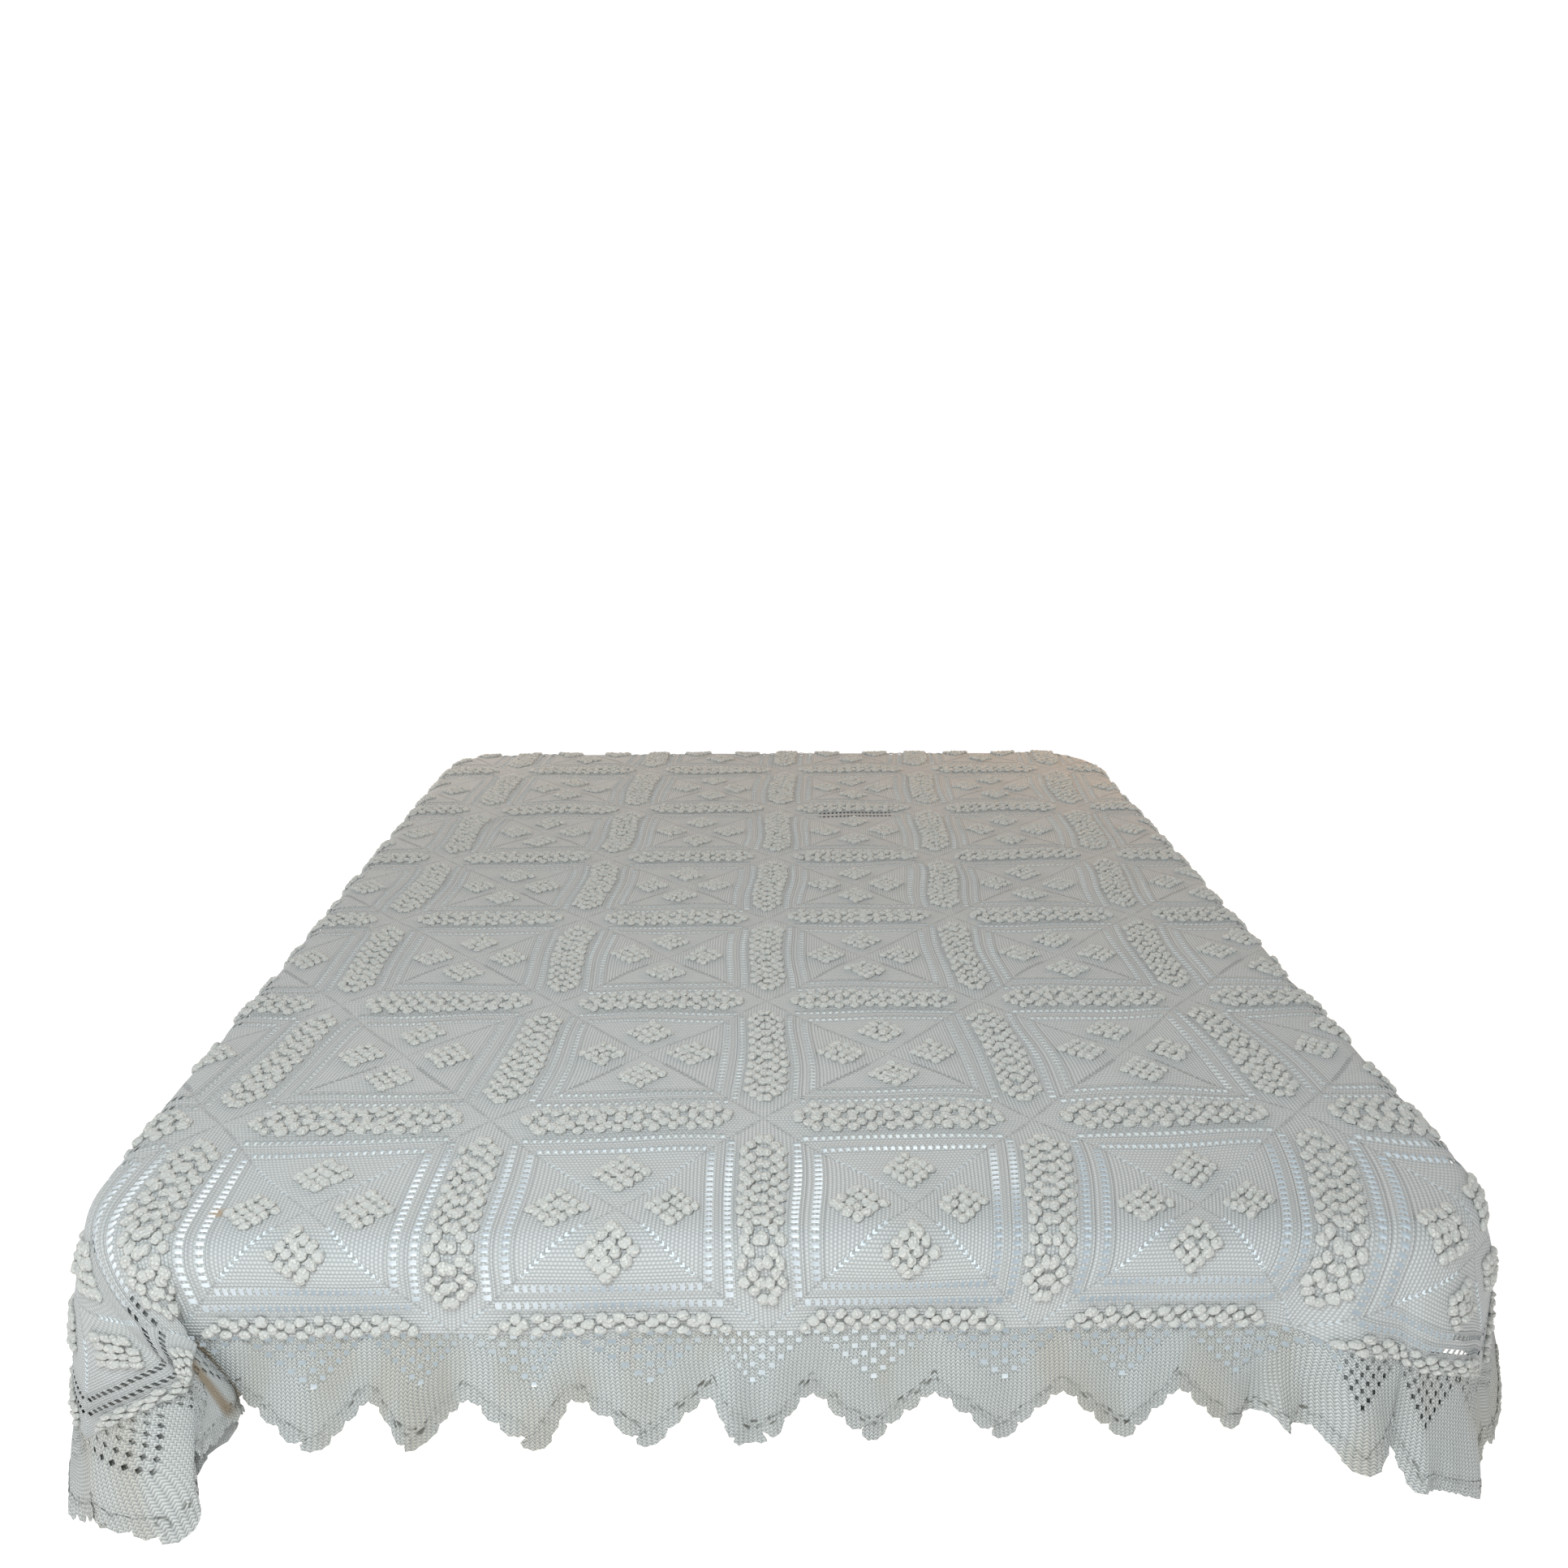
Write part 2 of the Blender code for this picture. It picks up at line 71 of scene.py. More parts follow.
# Blocks round the panel's border, from the left foot corner to each corner.
CORNERS = (0, BLOCKS_WIDE, BLOCKS_WIDE + BLOCKS_LONG, 2 * BLOCKS_WIDE + BLOCKS_LONG, 2 * (BLOCKS_WIDE + BLOCKS_LONG))
SIDE_CLEARANCE = 0.006      # from the mattress's sides to the middle of the hanging cloth
TOP_CLEARANCE = 0.0019      # from the mattress's top to the middle of the cloth
EASE_LENGTH = 0.28          # a fold stops leaning out over about this length of hang

LACE_VALLEY = 0.070         # depth of the lace between two points
LACE_POINT = 0.127          # depth of the lace at a point
POINTS_WIDE = 15            # lace points along the head
POINTS_LONG = 18            # lace points along each side


def tuples(kind, *rows):
    """Rows of plain numbers as named tuples."""
    return tuple(kind(*row) for row in rows)


# The lace points along the foot, unevenly sewn: each one's middle and how far it reaches (1 is LACE_POINT), the
# valley after it and how far that reaches; places in blocks from the middle of the panel.
Point = namedtuple("Point", "middle reach valley filled", defaults=(0.0,))
FOOT_POINTS = tuples(Point, (-2.80, 1, -2.64), (-2.50, 0.25, -2.24), (-2.02, 0.25, -1.76), (-1.50, 1, -1.31),
                     (-1.12, 1, -0.96), (-0.74, 1, -0.64), (-0.375, 1, -0.18), (-0.055, 1, 0.165), (0.40, 1, 0.63),
                     (0.90, 1, 1.12), (1.35, 1, 1.57), (1.79, 1, 2.10, 0.45), (2.21, 1, 2.36), (2.51, 1, 2.66, 0.9),
                     (2.82, 1, 3))
# Pleats in the lace along the foot: middle and width in blocks, and how far it stands out at the lace's edge.
Pleat = namedtuple("Pleat", "middle width out")
PLEATS = tuples(Pleat, (-1.56, 0.10, 0.012), (-1.19, 0.06, 0.026), (-1.05, 0.06, -0.010), (-0.80, 0.10, 0.010),
                (-0.42, 0.09, 0.011), (-0.12, 0.05, 0.024), (0.03, 0.05, 0.018), (0.30, 0.10, 0.010),
                (0.80, 0.11, 0.011), (1.20, 0.08, 0.013), (1.42, 0.08, 0.011), (1.88, 0.06, -0.014),
                (1.99, 0.05, 0.024))
CORNER_FAN = 0.30           # the lace fans out over this many blocks on each side of a corner
CORNER_FULLNESS = 0.20      # and is this much deeper at the corner itself

STITCH = BLOCK / 74         # one stitch, along a row and from row to row
CLOTH_LIFT = -0.0011        # the crochet's ground lies near the bottom of the solid sheet, bobbles above it
WEAVE_DRIFT = 0.045         # the blocks' lines wander by this many blocks
PUFF = 0.006                # the ground stands off the mattress by up to this much between its seams
GATHER = 0.011              # the lace's free edge waves by up to this much

# ---------------------------------------------------------------- bobbles and edging

BOBBLE_CUT = -0.62          # a bobble is a ball cut off here, in radii from its middle
BOBBLE_STAND = 0.38         # its middle stands this part of its height above the ground
BOBBLE_SWAY = 0.35          # it is turned by up to this much, in radians
BOBBLE_SHIFT = 0.0009       # and it lies about this far from its place
GROUND_LIP, LACE_LIP = 0.0009, -0.0022       # rims of the holes, up from the cloth
LACE_CELLS = 13             # mesh cells along one lace point, the middle one at its tip
POINT_SHAPE = 0.9           # 1 would make the points' sides straight
FILET_ROWS = 7
FILET_ROW = 0.0088          # depth of one row of filet holes
RIB_ROWS = 6
RIB_LEAST = 0.016           # depth that is left for the ribs in a valley
RIM = 0.005                 # the shells reach this far beyond the worked edge
SHELL = 0.0135              # half the width of a shell
SHELL_DEPTH = 0.011
# Shells of one lace point: place from its valley (0) over its tip (1) to the next valley (2), and size.
SHELLS = ((0.13, 0.95), (0.40, 1.0), (0.70, 1.15), (1.0, 1.2), (1.30, 1.15), (1.60, 1.0), (1.87, 0.95))
TIP_SHIFT = 0.0015          # the shell at a tip lies this much closer to the lace
# The folded layer at each foot corner: how far behind the outer one it hangs at its top and lower down, how far
# it runs round the border in blocks, and how far down the lace its lower edge and its top are.
FOLD_BEHIND = (0.003, 0.009)
FOLD_RUN = (-0.85, 0.95)
FOLD_EDGE = 0.088
FOLD_TOPS = {"inner_fold_left": (CORNERS[4], -0.070), "inner_fold_right": (CORNERS[1], -0.022)}

# ---------------------------------------------------------------- how the cloth lies, short tables

# One row for each seam line across the bed, in blocks: its distance behind the foot edge of the mattress,
# how far the middle seam lies from the bed's centre line, and the width of the blocks there.
Seam = namedtuple("Seam", "line back shift width")
SEAMS = tuples(Seam, (0, -0.30, -0.120, 0.985), (1, 0.77, -0.090, 1.055), (2, 1.79, -0.075, 0.990),
               (3, 2.80, -0.075, 0.990), (4, 3.77, -0.020, 0.998), (5, 4.74, 0.030, 1.004), (6, 5.70, 0.080, 1.012),
               (7, 6.65, 0.130, 1.010))
# How far each seam is pulled across at the foot edge, in blocks.
Pull = namedtuple("Pull", "seam across")
FOOT_PULLS = tuples(Pull, (-2, 0.0), (-1, -0.047), (0, 0.037), (1, -0.048), (2, -0.138))
LEFT_BOW = 0.035            # the left seams of the foot row bow outwards by this many blocks
BELLY = 0.05                # the foot row of blocks is pulled forward by this many blocks at its middle
CORNER_SAG = 0.12           # and by this many more where it turns round a corner
# How much lower the foot edge hangs near its corners, in blocks.
Slip = namedtuple("Slip", "across lower")
SLIPS = tuples(Slip, (-3, -0.08), (-2.6, -0.04), (-2.3, 0.04), (-2, 0), (1.9, 0), (2.2, 0.08), (2.45, 0.13), (3, 0.13))

# Folds along each side: position along the side in metres, and lean from the vertical in degrees.
Hang = namedtuple("Hang", "at lean")
HANGS = {
    "foot": tuples(Hang, (-0.66, 2), (-0.55, 6), (-0.42, 3), (-0.28, 6), (-0.15, 3), (-0.02, 5.5), (0.10, 3),
                   (0.24, 5.5), (0.38, 3), (0.49, 3), (0.545, 1), (0.615, 21), (0.66, 14)),
    "head": tuples(Hang, (-0.66, 5), (-0.40, 3), (-0.15, 8), (0.12, 3), (0.40, 7), (0.66, 5)),
    "left": tuples(Hang, (-0.86, 5), (-0.70, 3), (-0.48, 9), (-0.25, 3), (-0.02, 8), (0.22, 3), (0.46, 9), (0.68, 3),
                   (0.86, 5)),
    "right": tuples(Hang, (-0.86, 5), (-0.66, 3), (-0.42, 8), (-0.16, 3), (0.10, 9), (0.36, 3), (0.60, 8), (0.86, 5)),
}

# Folds round each corner, all in degrees: the angle in the flat cloth, from the foot or head side towards
# the long side, the way that line of cloth faces when it hangs, its lean, and how much further it has turned
# at the lace's edge.
Fold = namedtuple("Fold", "angle facing lean sweep", defaults=(0,))
FOLDS = {
    ("left", "foot"): tuples(Fold, (0, 0, 2), (1.0, 10, 3), (3.0, -18, 14, -16), (8, -18, 18, -14), (14, -16, 20, -4),
                             (21, -12, 20), (30, -8, 17), (38, -4, 11), (46, 14, 12), (54, 36, 15), (62, 58, 16),
                             (72, 80, 17), (90, 90, 5)),
    ("right", "foot"): tuples(Fold, (0, 0, 14), (8, 6, 23), (20, 22, 22), (34, 44, 11), (46, 62, 12), (66, 82, 19),
                              (90, 90, 5)),
    ("left", "head"): tuples(Fold, (0, 0, 5), (24, 20, 20), (42, 42, 8), (68, 66, 22), (90, 90, 5)),
    ("right", "head"): tuples(Fold, (0, 0, 5), (26, 24, 22), (46, 46, 9), (68, 68, 22), (90, 90, 5)),
}
FOLD_START = 0.05           # a fold turns away from its corner between these two lengths of hang
FOLD_FULL = 0.19
FOLD_SWEEP = 0.14           # and over this much more it sweeps on

# The block's pattern, in blocks from its middle.
LADDERS = (0.316, 0.383)    # squares of eyelets
LADDER_WIDTH = 0.030
DIAMOND_AT = 0.185          # middles of the four bobble diamonds
DIAMOND_STEP = 0.026
# One row of bobbles in an edge strip: its distance in from the seam, and how many bobbles it has.
StripRow = namedtuple("StripRow", "inset bobbles")
STRIP_ROWS = tuples(StripRow, (0.0133, 12), (0.0400, 11), (0.0660, 10))
STRIP_PITCH = 0.0664

# ---------------------------------------------------------------- sizes worked out from these

SHEET_TOP = MATTRESS_HIGH.z + TOP_CLEARANCE
SHEET_HALF_WIDTH = MATTRESS_HIGH.x + SIDE_CLEARANCE
SHEET_HALF_LENGTH = MATTRESS_HIGH.y + SIDE_CLEARANCE
SHEET_CORNER = MATTRESS_CORNER + SIDE_CLEARANCE


def linear(code):
    """An sRGB hex colour as linear red, green and blue."""
    values = (int(code[k:k + 2], 16) / 255 for k in (1, 3, 5))
    return tuple(v / 12.92 if v <= 0.04045 else ((v + 0.055) / 1.055) ** 2.4 for v in values)


def column(table, name):
    """One named column of a table, as an array."""
    return np.array([getattr(row, name) for row in table], float)


def smooth(value):
    """0 below 0, 1 above 1, and an S-shaped rise between."""
    value = np.clip(value, 0.0, 1.0)
    return value * value * (3.0 - 2.0 * value)


# ---------------------------------------------------------------- draping, the same rules as the frame's solids

def through(table, key, name, at):
    """A smooth curve through a column of a table whose keys are evenly spaced."""
    keys, values = column(table, key), column(table, name)
    first = 2.0 * values[0] - values[1]
    last = 2.0 * values[-1] - values[-2]
    padded = np.concatenate([[first], values, [last]])
    place_in = np.clip((at - keys[0]) / (keys[1] - keys[0]), 0.0, len(keys) - 1.0)
    step = np.minimum(place_in.astype(int), len(keys) - 2)
    t = place_in - step
    a, b, c, d = (padded[step + k] for k in range(4))
    return 0.5 * (2 * b + (c - a) * t + (2 * a - 5 * b + 4 * c - d) * t ** 2 + (3 * b - a - 3 * c + d) * t ** 3)


def lay(across, along):
    """Block coordinates (-3..3 across, 0..7 from the foot) to metres over the bed, before the cloth bends."""
    across, along = np.broadcast_arrays(np.asarray(across, float), np.asarray(along, float))
    inner = np.clip(across, -2.0, 2.0)
    x = through(SEAMS, "line", "shift", along) + inner * through(SEAMS, "line", "width", along) + across - inner
    foot_row = np.clip(along, 0.0, 1.0)
    belly = np.sin(math.pi * foot_row)
    corner = smooth((np.abs(across) - 1.9) / 0.55)
    slip = np.interp(across, column(SLIPS, "across"), column(SLIPS, "lower"))
    pulled = BELLY * belly + corner * CORNER_SAG * belly + slip * (1.0 - foot_row)
    y = through(SEAMS, "line", "back", along) - pulled
    pull = np.interp(inner, column(FOOT_PULLS, "seam"), column(FOOT_PULLS, "across"))
    x = x + pull * (1.0 - foot_row) ** 2 - LEFT_BOW * belly ** 2 * smooth((-across - 0.4) / 1.6)
    return x * BLOCK, y * BLOCK - MATTRESS_HIGH.y


def over_edge(reach, lean):
    """How far out and how far down a line of cloth is, that runs over a rounded edge and hangs at a lean."""
    turn = math.pi / 2 - lean
    on_edge = MATTRESS_EDGE * turn
    bent = np.clip(reach, 0.0, on_edge) / MATTRESS_EDGE
    hang = np.clip(reach - on_edge, 0.0, None)
    lean_out = EASE_LENGTH * (1.0 - np.exp(-hang / EASE_LENGTH)) * np.cos(turn)
    fall = np.sqrt(np.clip(hang ** 2 - lean_out ** 2, 0.0, None))
    out = np.where(reach < 0.0, reach, MATTRESS_EDGE * np.sin(bent) + lean_out)
    down = MATTRESS_EDGE * (1.0 - np.cos(bent)) + fall
    return out, down


def side_lean(side, at):
    """Lean of the cloth along one side, in radians."""
    at_rows, lean_rows = column(HANGS[side], "at"), column(HANGS[side], "lean")
    row = np.clip(np.searchsorted(at_rows, at) - 1, 0, len(at_rows) - 2)
    part = smooth((at - at_rows[row]) / (at_rows[row + 1] - at_rows[row]))
    return np.radians(lean_rows[row] * (1.0 - part) + lean_rows[row + 1] * part)


def corner_column(table, name, angle):
    """A column of a corner's fold table at any angle, flat on its crests and never past its stations."""
    keys, values = column(table, "angle"), column(table, name)
    slopes = np.diff(values) / np.diff(keys)
    tangents = np.zeros(len(keys))
    for k in range(1, len(keys) - 1):
        before, after = slopes[k - 1], slopes[k]
        if before * after > 0:
            tangents[k] = 2.0 * before * after / (before + after)
    row = np.clip(np.searchsorted(keys, angle, side="right") - 1, 0, len(keys) - 2)
    width = keys[row + 1] - keys[row]
    t = (angle - keys[row]) / width
    start = (2 * t ** 3 - 3 * t ** 2 + 1) * values[row] + (t ** 3 - 2 * t ** 2 + t) * width * tangents[row]
    end = (3 * t ** 2 - 2 * t ** 3) * values[row + 1] + (t ** 3 - t ** 2) * width * tangents[row + 1]
    return np.radians(start + end)


def drape(x, y):
    """Metres over the bed to the middle of the hanging cloth, one point a row."""
    x, y = np.broadcast_arrays(np.asarray(x, float), np.asarray(y, float))
    points = np.zeros(x.shape + (3,))
    past_x = np.abs(x) - (SHEET_HALF_WIDTH - SHEET_CORNER)
    past_y = np.abs(y) - (SHEET_HALF_LENGTH - SHEET_CORNER)
    at_corner = (past_x > 0) & (past_y > 0)
    at_side = ~at_corner & (past_x > past_y)
    at_end = ~at_corner & ~at_side

    for side, sign, part, over, beside, half in (
            ("left", -1.0, at_side, x, y, SHEET_HALF_WIDTH), ("right", 1.0, at_side, x, y, SHEET_HALF_WIDTH),
            ("foot", -1.0, at_end, y, x, SHEET_HALF_LENGTH), ("head", 1.0, at_end, y, x, SHEET_HALF_LENGTH)):
        part = part & ((over < 0) == (sign < 0))
        out, down = over_edge(np.abs(over[part]) - half + MATTRESS_EDGE, side_lean(side, beside[part]))
        reach = sign * (half - MATTRESS_EDGE + out)
        level = (reach, beside[part]) if over is x else (beside[part], reach)
        points[part] = np.stack([*level, SHEET_TOP - down], -1)

    for (side, end), folds in FOLDS.items():
        sign_x = -1.0 if side == "left" else 1.0
        sign_y = -1.0 if end == "foot" else 1.0
        part = at_corner & (x * sign_x > 0) & (y * sign_y > 0)
        radius = np.hypot(past_x[part], past_y[part])
        angle = np.arctan2(past_x[part], past_y[part])
        flat = SHEET_CORNER - MATTRESS_EDGE
        lean = corner_column(folds, "lean", np.degrees(angle))
        out, down = over_edge(radius - flat, lean)
        turned = smooth((radius - flat - FOLD_START) / (FOLD_FULL - FOLD_START))
        facing = angle + (corner_column(folds, "facing", np.degrees(angle)) - angle) * turned
        facing += corner_column(folds, "sweep", np.degrees(angle)) * smooth((radius - flat - FOLD_FULL) / FOLD_SWEEP)
        corner_x = SHEET_HALF_WIDTH - SHEET_CORNER + (flat + out) * np.sin(facing)
        corner_y = SHEET_HALF_LENGTH - SHEET_CORNER + (flat + out) * np.cos(facing)
        points[part] = np.stack([sign_x * corner_x, sign_y * corner_y, SHEET_TOP - down], -1)
    return points


def outward(x, y):
    """The way that the outer face of the hanging cloth looks, one point a row."""
    step = 0.001
    normals = np.cross(drape(x + step, y) - drape(x - step, y), drape(x, y + step) - drape(x, y - step))
    return normals / np.linalg.norm(normals, axis=-1, keepdims=True)


def waves(x, y, length, seed):
    """An uneven gentle wave between 0 and 1 over the flat cloth, its crests about `length` metres apart."""
    loose = np.random.default_rng(seed)
    total = 0.0
    for way, phase, part in zip(loose.uniform(0.0, math.pi, 5), loose.uniform(0.0, 2 * math.pi, 5),
                                (1.0, 0.9, 1.15, 0.8, 1.3)):
        total = total + np.sin((x * math.cos(way) + y * math.sin(way)) * 2 * math.pi * part / length + phase)
    return 0.5 + total / 10.0


def drape_panel(flat):
    """Points of the flat panel (x from its middle, y from its foot edge, height) to their place on the bed."""
    across, along = flat[:, 0] / BLOCK, flat[:, 1] / BLOCK
    inside = np.minimum(smooth((3.0 - np.abs(across)) / 0.4), smooth(np.minimum(along, BLOCKS_LONG - along) / 0.4))
    slack = inside * WEAVE_DRIFT
    x, y = lay(across + slack * (waves(*flat[:, :2].T, 0.24, 1) - 0.5),
               along + slack * (waves(*flat[:, :2].T, 0.24, 2) - 0.5))
    puff = inside * PUFF * waves(*flat[:, :2].T, 0.19, 3)
    return drape(x, y) + outward(x, y) * (flat[:, 2:] + CLOTH_LIFT + puff[:, None])


def on_border(at):
    """Places on the panel's border, by blocks round it from the left foot corner: across, along, the way
    that the lace points in degrees, and how much of that is the fan of a corner."""
    corners = np.array(CORNERS)
    side = np.clip(np.searchsorted(corners, at, side="right") - 1, 0, 3)
    done, left = at - corners[side], corners[side + 1] - at
    half = BLOCKS_WIDE / 2
    across = np.choose(side, [done - half, half, half - done, -half])
    along = np.choose(side, [0.0, done, BLOCKS_LONG, BLOCKS_LONG - done])
    fan = 45.0 * (np.clip(1.0 - left / CORNER_FAN, 0.0, 1.0) - np.clip(1.0 - done / CORNER_FAN, 0.0, 1.0))
    return across, along, 90.0 * (side - 1) + fan, fan


def drape_lace(flat):
    """Points of the flat lace (x along the panel's border, y inwards, height) to their place on the bed."""
    across, along, facing, fan = on_border((flat[:, 0] / BLOCK) % CORNERS[4])
    x, y = lay(across, along)
    width = -flat[:, 1] * (1.0 + CORNER_FULLNESS * np.abs(fan) / 45.0)
    x = x + width * np.cos(np.radians(facing))
    y = y + width * np.sin(np.radians(facing))
    gather = GATHER * smooth(width / LACE_POINT) * (waves(flat[:, 0], 0.4 * width, 0.058, 5) +
                                                    waves(flat[:, 0], 0.3 * width, 0.14, 6))
    for pleat in PLEATS:
        off = (flat[:, 0] / BLOCK - BLOCKS_WIDE / 2 - pleat.middle) / pleat.width
        gather = gather + pleat.out * smooth(width / LACE_POINT) * np.exp(-off ** 2)
    return drape(x, y) + outward(x, y) * (flat[:, 2:] + CLOTH_LIFT + gather[:, None])


def lace_stations():
    """Every valley and point of the lace's edge in turn: blocks round the border from a valley at the left foot
    corner, and how far each reaches (0 to 1)."""
    stations, reach = [0.0], [0.0]
    for point in FOOT_POINTS:
        stations += [point.middle + BLOCKS_WIDE / 2, point.valley + BLOCKS_WIDE / 2]
        reach += [point.reach, point.filled]
    for start, blocks, points in zip(CORNERS[1:], (BLOCKS_LONG, BLOCKS_WIDE, BLOCKS_LONG),
                                     (POINTS_LONG, POINTS_WIDE, POINTS_LONG)):
        stations += list(start + np.arange(1, 2 * points + 1) * blocks / (2 * points))
        reach += [1.0, 0.0] * points
    return np.array(stations), np.array(reach)


# ---------------------------------------------------------------- mesh and node helpers

def add(tree, kind, inputs=None, **settings):
    """A new node with its settings; `inputs` maps socket names or numbers to values or to linked outputs."""
    node = tree.nodes.new(kind)
    for name, value in settings.items():
        setattr(node, name, value)
    for name, value in (inputs or {}).items():
        socket, value = node.inputs[name], value.socket if isinstance(value, Value) else value
        if isinstance(value, bpy.types.NodeSocket):
            tree.links.new(value, socket)
        else:
            socket.default_value = value
    return node


def number(tree, kind, output, inputs=None, **settings):
    """One numeric output of a new node, ready for sums."""
    return Value(tree, add(tree, kind, inputs, **settings).outputs[output])


def maths(tree, operation, *values):
    """The result of one Math node."""
    return number(tree, "ShaderNodeMath", 0, dict(enumerate(values)), operation=operation)


class Value:
    """A number in a node tree. Sums, products and comparisons of it become Math nodes."""

    def __init__(self, tree, socket):
        self.tree, self.socket = tree, socket

    def calculate(self, operation, *others):
        """The result of one Math node on this number and others."""
        return maths(self.tree, operation, self, *others)

    def __rsub__(self, other):
        return maths(self.tree, "SUBTRACT", other, self)

    __add__ = partialmethod(calculate, "ADD")
    __sub__ = partialmethod(calculate, "SUBTRACT")
    __mul__ = partialmethod(calculate, "MULTIPLY")
    __truediv__ = partialmethod(calculate, "DIVIDE")
    __lt__ = partialmethod(calculate, "LESS_THAN")
    __gt__ = partialmethod(calculate, "GREATER_THAN")
    __abs__ = partialmethod(calculate, "ABSOLUTE")


def axes(tree, vector):
    """The X, Y and Z of a vector in a node tree."""
    return [Value(tree, socket) for socket in add(tree, "ShaderNodeSeparateXYZ", {0: vector}).outputs]


def new_object(name, mesh):
    """An object of the scene for a finished mesh, at the origin."""
    piece = bpy.data.objects.new(name, mesh)
    bpy.context.scene.collection.objects.link(piece)
    return piece


def built(name, builder):
    """An object of the scene for a finished bmesh."""
    mesh = bpy.data.meshes.new(name)
    builder.to_mesh(mesh)
    builder.free()
    return new_object(name, mesh)


def coordinates(mesh):
    """A mesh's vertex positions as an array."""
    values = np.empty(len(mesh.vertices) * 3)
    mesh.vertices.foreach_get("co", values)
    return values.reshape(-1, 3)


def place(mesh, points):
    """Move a mesh's vertices."""
    mesh.vertices.foreach_set("co", np.asarray(points, np.float32).ravel())
    mesh.update()


def corner_places(mesh):
    """For each face corner: its vertex's position, and the middle of its face."""
    points = coordinates(mesh)
    vertex = np.empty(len(mesh.loops), int)
    mesh.loops.foreach_get("vertex_index", vertex)
    middles = np.empty(len(mesh.polygons) * 3)
    mesh.polygons.foreach_get("center", middles)
    sizes = np.empty(len(mesh.polygons), int)
    mesh.polygons.foreach_get("loop_total", sizes)
    return points[vertex], np.repeat(middles.reshape(-1, 3), sizes, axis=0)


def write_uv(mesh, name, values):
    """A UV map from an array with one row a face corner."""
    layer = mesh.uv_layers.new(name=name)
    layer.data.foreach_set("uv", np.asarray(values, np.float32).ravel())


def flat_grid(name, points, runs=None):
    """A grid mesh (columns, rows, xy) laid flat. Faces that get a hole are marked with the way it runs."""
    columns, rows = points.shape[:2]
    index = np.arange(columns * rows).reshape(columns, rows)
    faces = np.stack([index[:-1, :-1], index[1:, :-1], index[1:, 1:], index[:-1, 1:]], -1).reshape(-1, 4)
    flat = np.concatenate([points.reshape(-1, 2), np.zeros((columns * rows, 1))], 1)
    mesh = bpy.data.meshes.new(name)
    mesh.from_pydata(flat, [], faces)
    if runs is not None:
        run = mesh.attributes.new("run", "FLOAT_VECTOR", "FACE")
        run.data.foreach_set("vector", runs.astype(np.float32).ravel())
    return mesh


def grown(source, name, tree, inputs):
    """Run a geometry tree on a source mesh and keep what it makes as a plain mesh object. `inputs` are the
    tree's own inputs by name."""
    holder = new_object(name + "_source", source)
    modifier = holder.modifiers.new("grow", "NODES")
    modifier.node_group = tree
    for item in tree.interface.items_tree:
        if item.item_type == "SOCKET" and item.in_out == "INPUT" and item.name in inputs:
            modifier[item.identifier] = inputs[item.name]
    evaluated = holder.evaluated_get(bpy.context.evaluated_depsgraph_get())
    mesh = bpy.data.meshes.new_from_object(evaluated)
    mesh.name = name
    bpy.data.objects.remove(holder)
    return new_object(name, mesh)


def new_tree(name, **sockets):
    """An empty geometry tree with a Geometry input and output, and inputs named under their kind."""
    tree = bpy.data.node_groups.new(name, "GeometryNodeTree")
    for kind, names in {"Geometry": ("Geometry",), **sockets}.items():
        for socket_name in names:
            tree.interface.new_socket(socket_name, in_out="INPUT", socket_type="NodeSocket" + kind)
    tree.interface.new_socket("Geometry", in_out="OUTPUT", socket_type="NodeSocketGeometry")
    return tree, tree.nodes.new("NodeGroupInput").outputs, tree.nodes.new("NodeGroupOutput").inputs[0]


def end_tree(tree, geometry, thread, made):
    """The last nodes of every tree here: a plain mesh, smooth, in the thread's material."""
    real = add(tree, "GeometryNodeRealizeInstances", {"Geometry": geometry})
    soft = add(tree, "GeometryNodeSetShadeSmooth", {"Geometry": real.outputs[0]})
    coloured = add(tree, "GeometryNodeSetMaterial", {"Geometry": soft.outputs[0], "Material": thread})
    tree.links.new(coloured.outputs[0], made)
    return tree


def stored(tree, name, kind="FLOAT"):
    """An attribute of the mesh that the tree runs on."""
    return add(tree, "GeometryNodeInputNamedAttribute", {"Name": name}, data_type=kind).outputs[0]


def eyelet_tree():
    """Opens a hole in each marked face, narrow along its ladder and wide across it, with a raised or sunk lip."""
    tree, given, made = new_tree("open_eyelets", Float=("Open Along", "Open Across", "Lip"), Material=("Thread",))
    run = stored(tree, "run", "FLOAT_VECTOR")
    length = number(tree, "ShaderNodeVectorMath", "Value", {0: run}, operation="LENGTH")
    marked = add(tree, "FunctionNodeCompare", {0: length, 1: 0.5}, operation="GREATER_THAN")
    cut = add(tree, "GeometryNodeExtrudeMesh", {"Mesh": given["Geometry"], "Selection": marked.outputs[0],
                                                "Offset Scale": given["Lip"], "Individual": True}, mode="FACES")
    across = add(tree, "ShaderNodeVectorMath", {0: run, 1: (0.0, 0.0, 1.0)}, operation="CROSS_PRODUCT")
    shape, top = cut.outputs["Mesh"], cut.outputs["Top"]
    for share, axis in (("Open Along", run), ("Open Across", across.outputs["Vector"])):
        shape = add(tree, "GeometryNodeScaleElements",
                    {"Geometry": shape, "Selection": top, "Scale": given[share], "Axis": axis},
                    domain="FACE", scale_mode="SINGLE_AXIS").outputs[0]
    opened = add(tree, "GeometryNodeDeleteGeometry", {"Geometry": shape, "Selection": top}, domain="FACE")
    return end_tree(tree, opened.outputs[0], given["Thread"], made)


